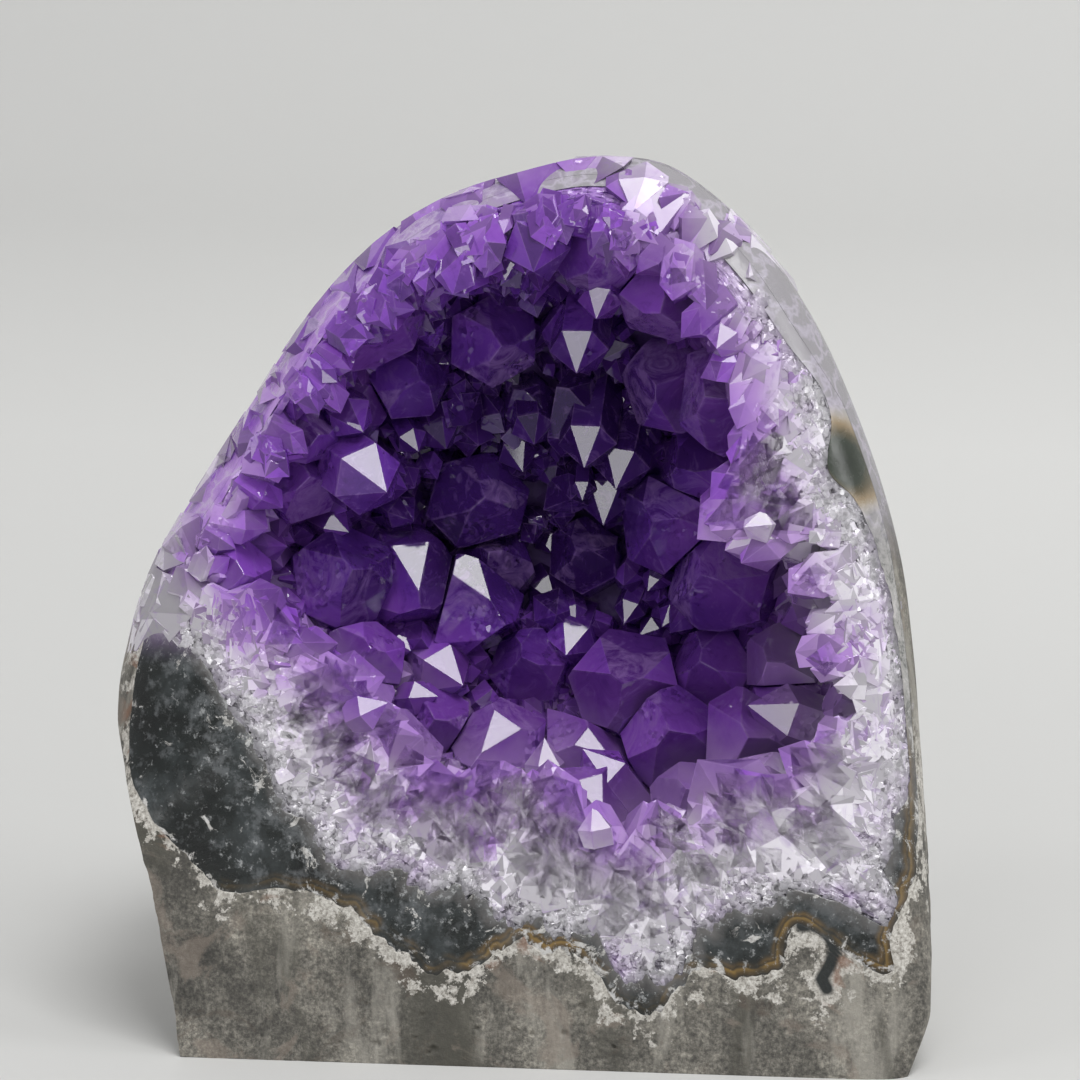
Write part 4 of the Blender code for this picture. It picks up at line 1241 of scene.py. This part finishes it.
class GEODE_OT_rim(bpy.types.Operator):
    """Grows the crystals at the rim: cut flush at the crown and left, pale columns round the foot"""
    bl_idname = "geode.rim"
    bl_label = "Rim crystals"

    def execute(self, context):
        colours = context.scene.geode_colours
        ragged = context.scene.geode_sizes.ragged / MM
        draw = np.random.default_rng(31)
        count = 130
        angles = np.radians(np.linspace(50, 190, count)) + draw.normal(0, 0.02, count)
        spot = nodule_radius(angles) - 0.5 - draw.uniform(0.0, 11.0, count)
        radius = draw.uniform(2.6, 5.4, count)
        self.grow("flush_crystals", angles, spot, 2.4, radius, radius * draw.uniform(1.4, 1.9, count),
                  0.5, 14.0, 0.12, 0.7, draw, ragged, amethyst("flush amethyst", colours, 0.4), "amethyst")
        for name, count, near, far, least, most in RIM_FIELDS:
            angles = draw.uniform(math.radians(-184), math.radians(62), count)
            outer, inner = band_edge(angles, ragged), bed_edge(angles, ragged)
            width = np.clip(outer - inner, 2.0, 14.0)
            spot = inner + near * width - draw.uniform(0.0, 1.0, count) * (near * width + far)
            radius = draw.uniform(least, most, count) * (0.55 + 0.06 * width)
            self.grow(name, angles, spot, draw.uniform(0.3, 2.4, count), radius,
                      radius * draw.uniform(2.0, 3.2, count), 0.3, 4.0, 0.18, 0.45, draw, ragged,
                      amethyst(name.replace("_", " "), colours, 0.3), "quartz")
        return {"FINISHED"}

    def grow(self, name, angles, spot, under, radius, length, buried, allowance, stray, forward, draw, ragged,
             finish, slot):
        """One field of crystals that lean in from the rim, seated so far under the ground face."""
        out = np.stack([np.cos(angles), np.zeros(len(angles)), np.sin(angles)], -1)
        seats = ring(angles, spot, front_y(angles, spot) + under)
        axes = unit((forward - 1.2) * out + np.array([0, -forward, 0]) + draw.normal(0, stray, seats.shape))
        seats = seats - axes * (buried * length)[:, None]
        sides = any_sides(axes, draw)
        keep = clear_of_standing(seats, axes, sides, radius, length, allowance)
        own = draw.uniform(size=len(angles))
        made = crystal_field(name, seats[keep], axes[keep], radius[keep], length[keep], own[keep], draw,
                             ragged, sides[keep])
        settle(made, finish, slot)


class GEODE_OT_sugar(bpy.types.Operator):
    """Strews the small quartz points along the outside of the white rim"""
    bl_idname = "geode.sugar"
    bl_label = "Quartz sugar"

    def execute(self, context):
        sizes = context.scene.geode_sizes
        ragged = sizes.ragged / MM
        count = sizes.sugar_count
        draw = np.random.default_rng(19)
        angles = draw.uniform(math.radians(-180), math.radians(62), count)
        outer, inner = band_edge(angles, ragged), bed_edge(angles, ragged)
        spot = outer + 0.4 - draw.uniform(0, 1, count) ** 2 * np.clip(outer - inner, 2, 8)
        seats = ring(angles, spot, front_y(angles, spot) + 0.3)
        axes = unit(np.stack([-0.4 * np.cos(angles), np.full(count, -0.8), -0.4 * np.sin(angles)], -1)
                    + draw.normal(0, 0.6, (count, 3)))
        radius = sizes.sugar_radius / MM * (0.35 + 1.1 * draw.uniform(size=count) ** 2)
        length = radius * draw.uniform(1.6, 2.8, count)
        made = crystal_field("quartz_sugar", seats - axes * (0.5 * length)[:, None], axes, radius, length,
                             draw.uniform(size=count), draw, ragged)
        settle(made, sugary_quartz("quartz crumb", context.scene.geode_colours), "quartz")
        return {"FINISHED"}


class GEODE_OT_stage(bpy.types.Operator):
    """Sets the pale floor and backdrop, with painted shade on the board, the lamps and the camera"""
    bl_idname = "geode.stage"
    bl_label = "Studio"

    def execute(self, context):
        scene = context.scene
        camera = bpy.data.cameras.new("display camera")
        camera.sensor_width = SENSOR
        camera.lens = SENSOR * DISPLAY_DISTANCE / DISPLAY_HEIGHT
        camera.clip_start = 0.01
        eye = bpy.data.objects.new("display camera", camera)
        eye.location = display_frame()[0]
        away = -toward(DISPLAY_AZIMUTH, DISPLAY_ELEVATION)
        eye.rotation_euler = away.to_track_quat("-Z", "Y").to_euler()
        scene.collection.objects.link(eye)
        scene.camera = eye
        for name, (azimuth, elevation, distance, size, power) in LAMPS.items():
            lamp = bpy.data.lights.new(name, "AREA")
            lamp.shape = "SQUARE"
            lamp.size = size
            lamp.energy = power
            made = bpy.data.objects.new(name, lamp)
            made.location = Vector((0, 0, 0.055)) + toward(azimuth, elevation) * distance
            made.rotation_euler = toward(azimuth, elevation).to_track_quat("Z", "Y").to_euler()
            scene.collection.objects.link(made)
        world = bpy.data.worlds.new("studio room")
        world.use_nodes = True
        world.node_tree.nodes["Background"].inputs["Color"].default_value = (*WORLD, 1)
        scene.world = world
        sweep = np.linspace(0, 0.5 * math.pi, 17)
        run = np.concatenate([[-3.0, 0.3], 0.9 + 0.6 * np.sin(sweep), [1.5]])
        rise = np.concatenate([[0.0, 0.0], 0.6 - 0.6 * np.cos(sweep), [3.0]])
        across = np.array([-4.0, 0.0, 4.0])
        points = np.stack(np.broadcast_arrays(across[None, :], run[:, None], rise[:, None]), -1)
        start = 3 * np.arange(len(run) - 1)[:, None] + np.arange(2)
        cells = np.stack([start, start + 1, start + 4, start + 3], -1).reshape(-1, 4)
        mesh = bpy.data.meshes.new("studio floor")
        mesh.from_pydata(points.reshape(-1, 3).tolist(), [], cells.tolist())
        mesh.polygons.foreach_set("use_smooth", np.ones(len(cells), bool))
        floor = bpy.data.objects.new("studio floor", mesh)
        scene.collection.objects.link(floor)
        material, tree = start_material("painted board")
        place = add(tree, "SeparateXYZ", {0: object_point(tree)}).outputs
        # Painted shade on the board: slightly darker to the left, and darker by up to about a sixth at the front
        # of the floor, fading out towards the back.
        shaded_tone = ramp(tree, fade(tree, place["X"], -0.35, 0.35), (0.0, "#DCDCDA"), (1.0, "#E5E5E3"))
        shaded_tone = blend(tree, fade(tree, place["Y"], 0.05, 0.45, 0.16, 0.0), shaded_tone, grey(0.0))
        principled(tree, {"Base Color": shaded_tone, "Roughness": 0.55})
        mesh.materials.append(material)
        scene.view_settings.view_transform = "Standard"
        return {"FINISHED"}


# Lamps: azimuth and elevation in degrees, distance and side in metres, and power in watts.
LAMPS = {
    "overhead softbox": (30, 65, 2.0, 0.88, 24.0),
    "side softbox": (80, 26, 2.0, 0.70, 7.0),
    "left reflector": (-60, 40, 2.0, 0.5, 2.6),
    "front window": (-12, 24, 2.0, 0.5, 4.0),
}
WORLD = (0.42, 0.42, 0.425)


class GEODE_PT_panel(bpy.types.Panel):
    """Lists the geode's pieces and their settings"""
    bl_label = "Amethyst geode"
    bl_idname = "GEODE_PT_panel"
    bl_space_type = "VIEW_3D"
    bl_region_type = "UI"
    bl_category = "Geode"

    def draw(self, context):
        for settings in (context.scene.geode_sizes, context.scene.geode_colours):
            for name in settings.__annotations__:
                self.layout.prop(settings, name)
        for operator in OPERATORS:
            self.layout.operator(operator.bl_idname)


OPERATORS = (
    GEODE_OT_rock, GEODE_OT_band, GEODE_OT_bed, GEODE_OT_standing, GEODE_OT_lesser, GEODE_OT_rim,
    GEODE_OT_mirrors, GEODE_OT_sugar, GEODE_OT_stage,
)
CLASSES = (GeodeSizes, GeodeColours, *OPERATORS, GEODE_PT_panel)


def register():
    """Registers the classes and hangs the settings on the scene."""
    for one in CLASSES:
        bpy.utils.register_class(one)
    bpy.types.Scene.geode_sizes = PointerProperty(type=GeodeSizes)
    bpy.types.Scene.geode_colours = PointerProperty(type=GeodeColours)


def unregister():
    """Takes the settings and the classes away."""
    del bpy.types.Scene.geode_colours
    del bpy.types.Scene.geode_sizes
    for one in reversed(CLASSES):
        bpy.utils.unregister_class(one)


def main():
    """Makes every piece in order."""
    register()
    for operator in OPERATORS:
        getattr(bpy.ops.geode, operator.bl_idname.partition(".")[2])()


if __name__ == "__main__":
    main()
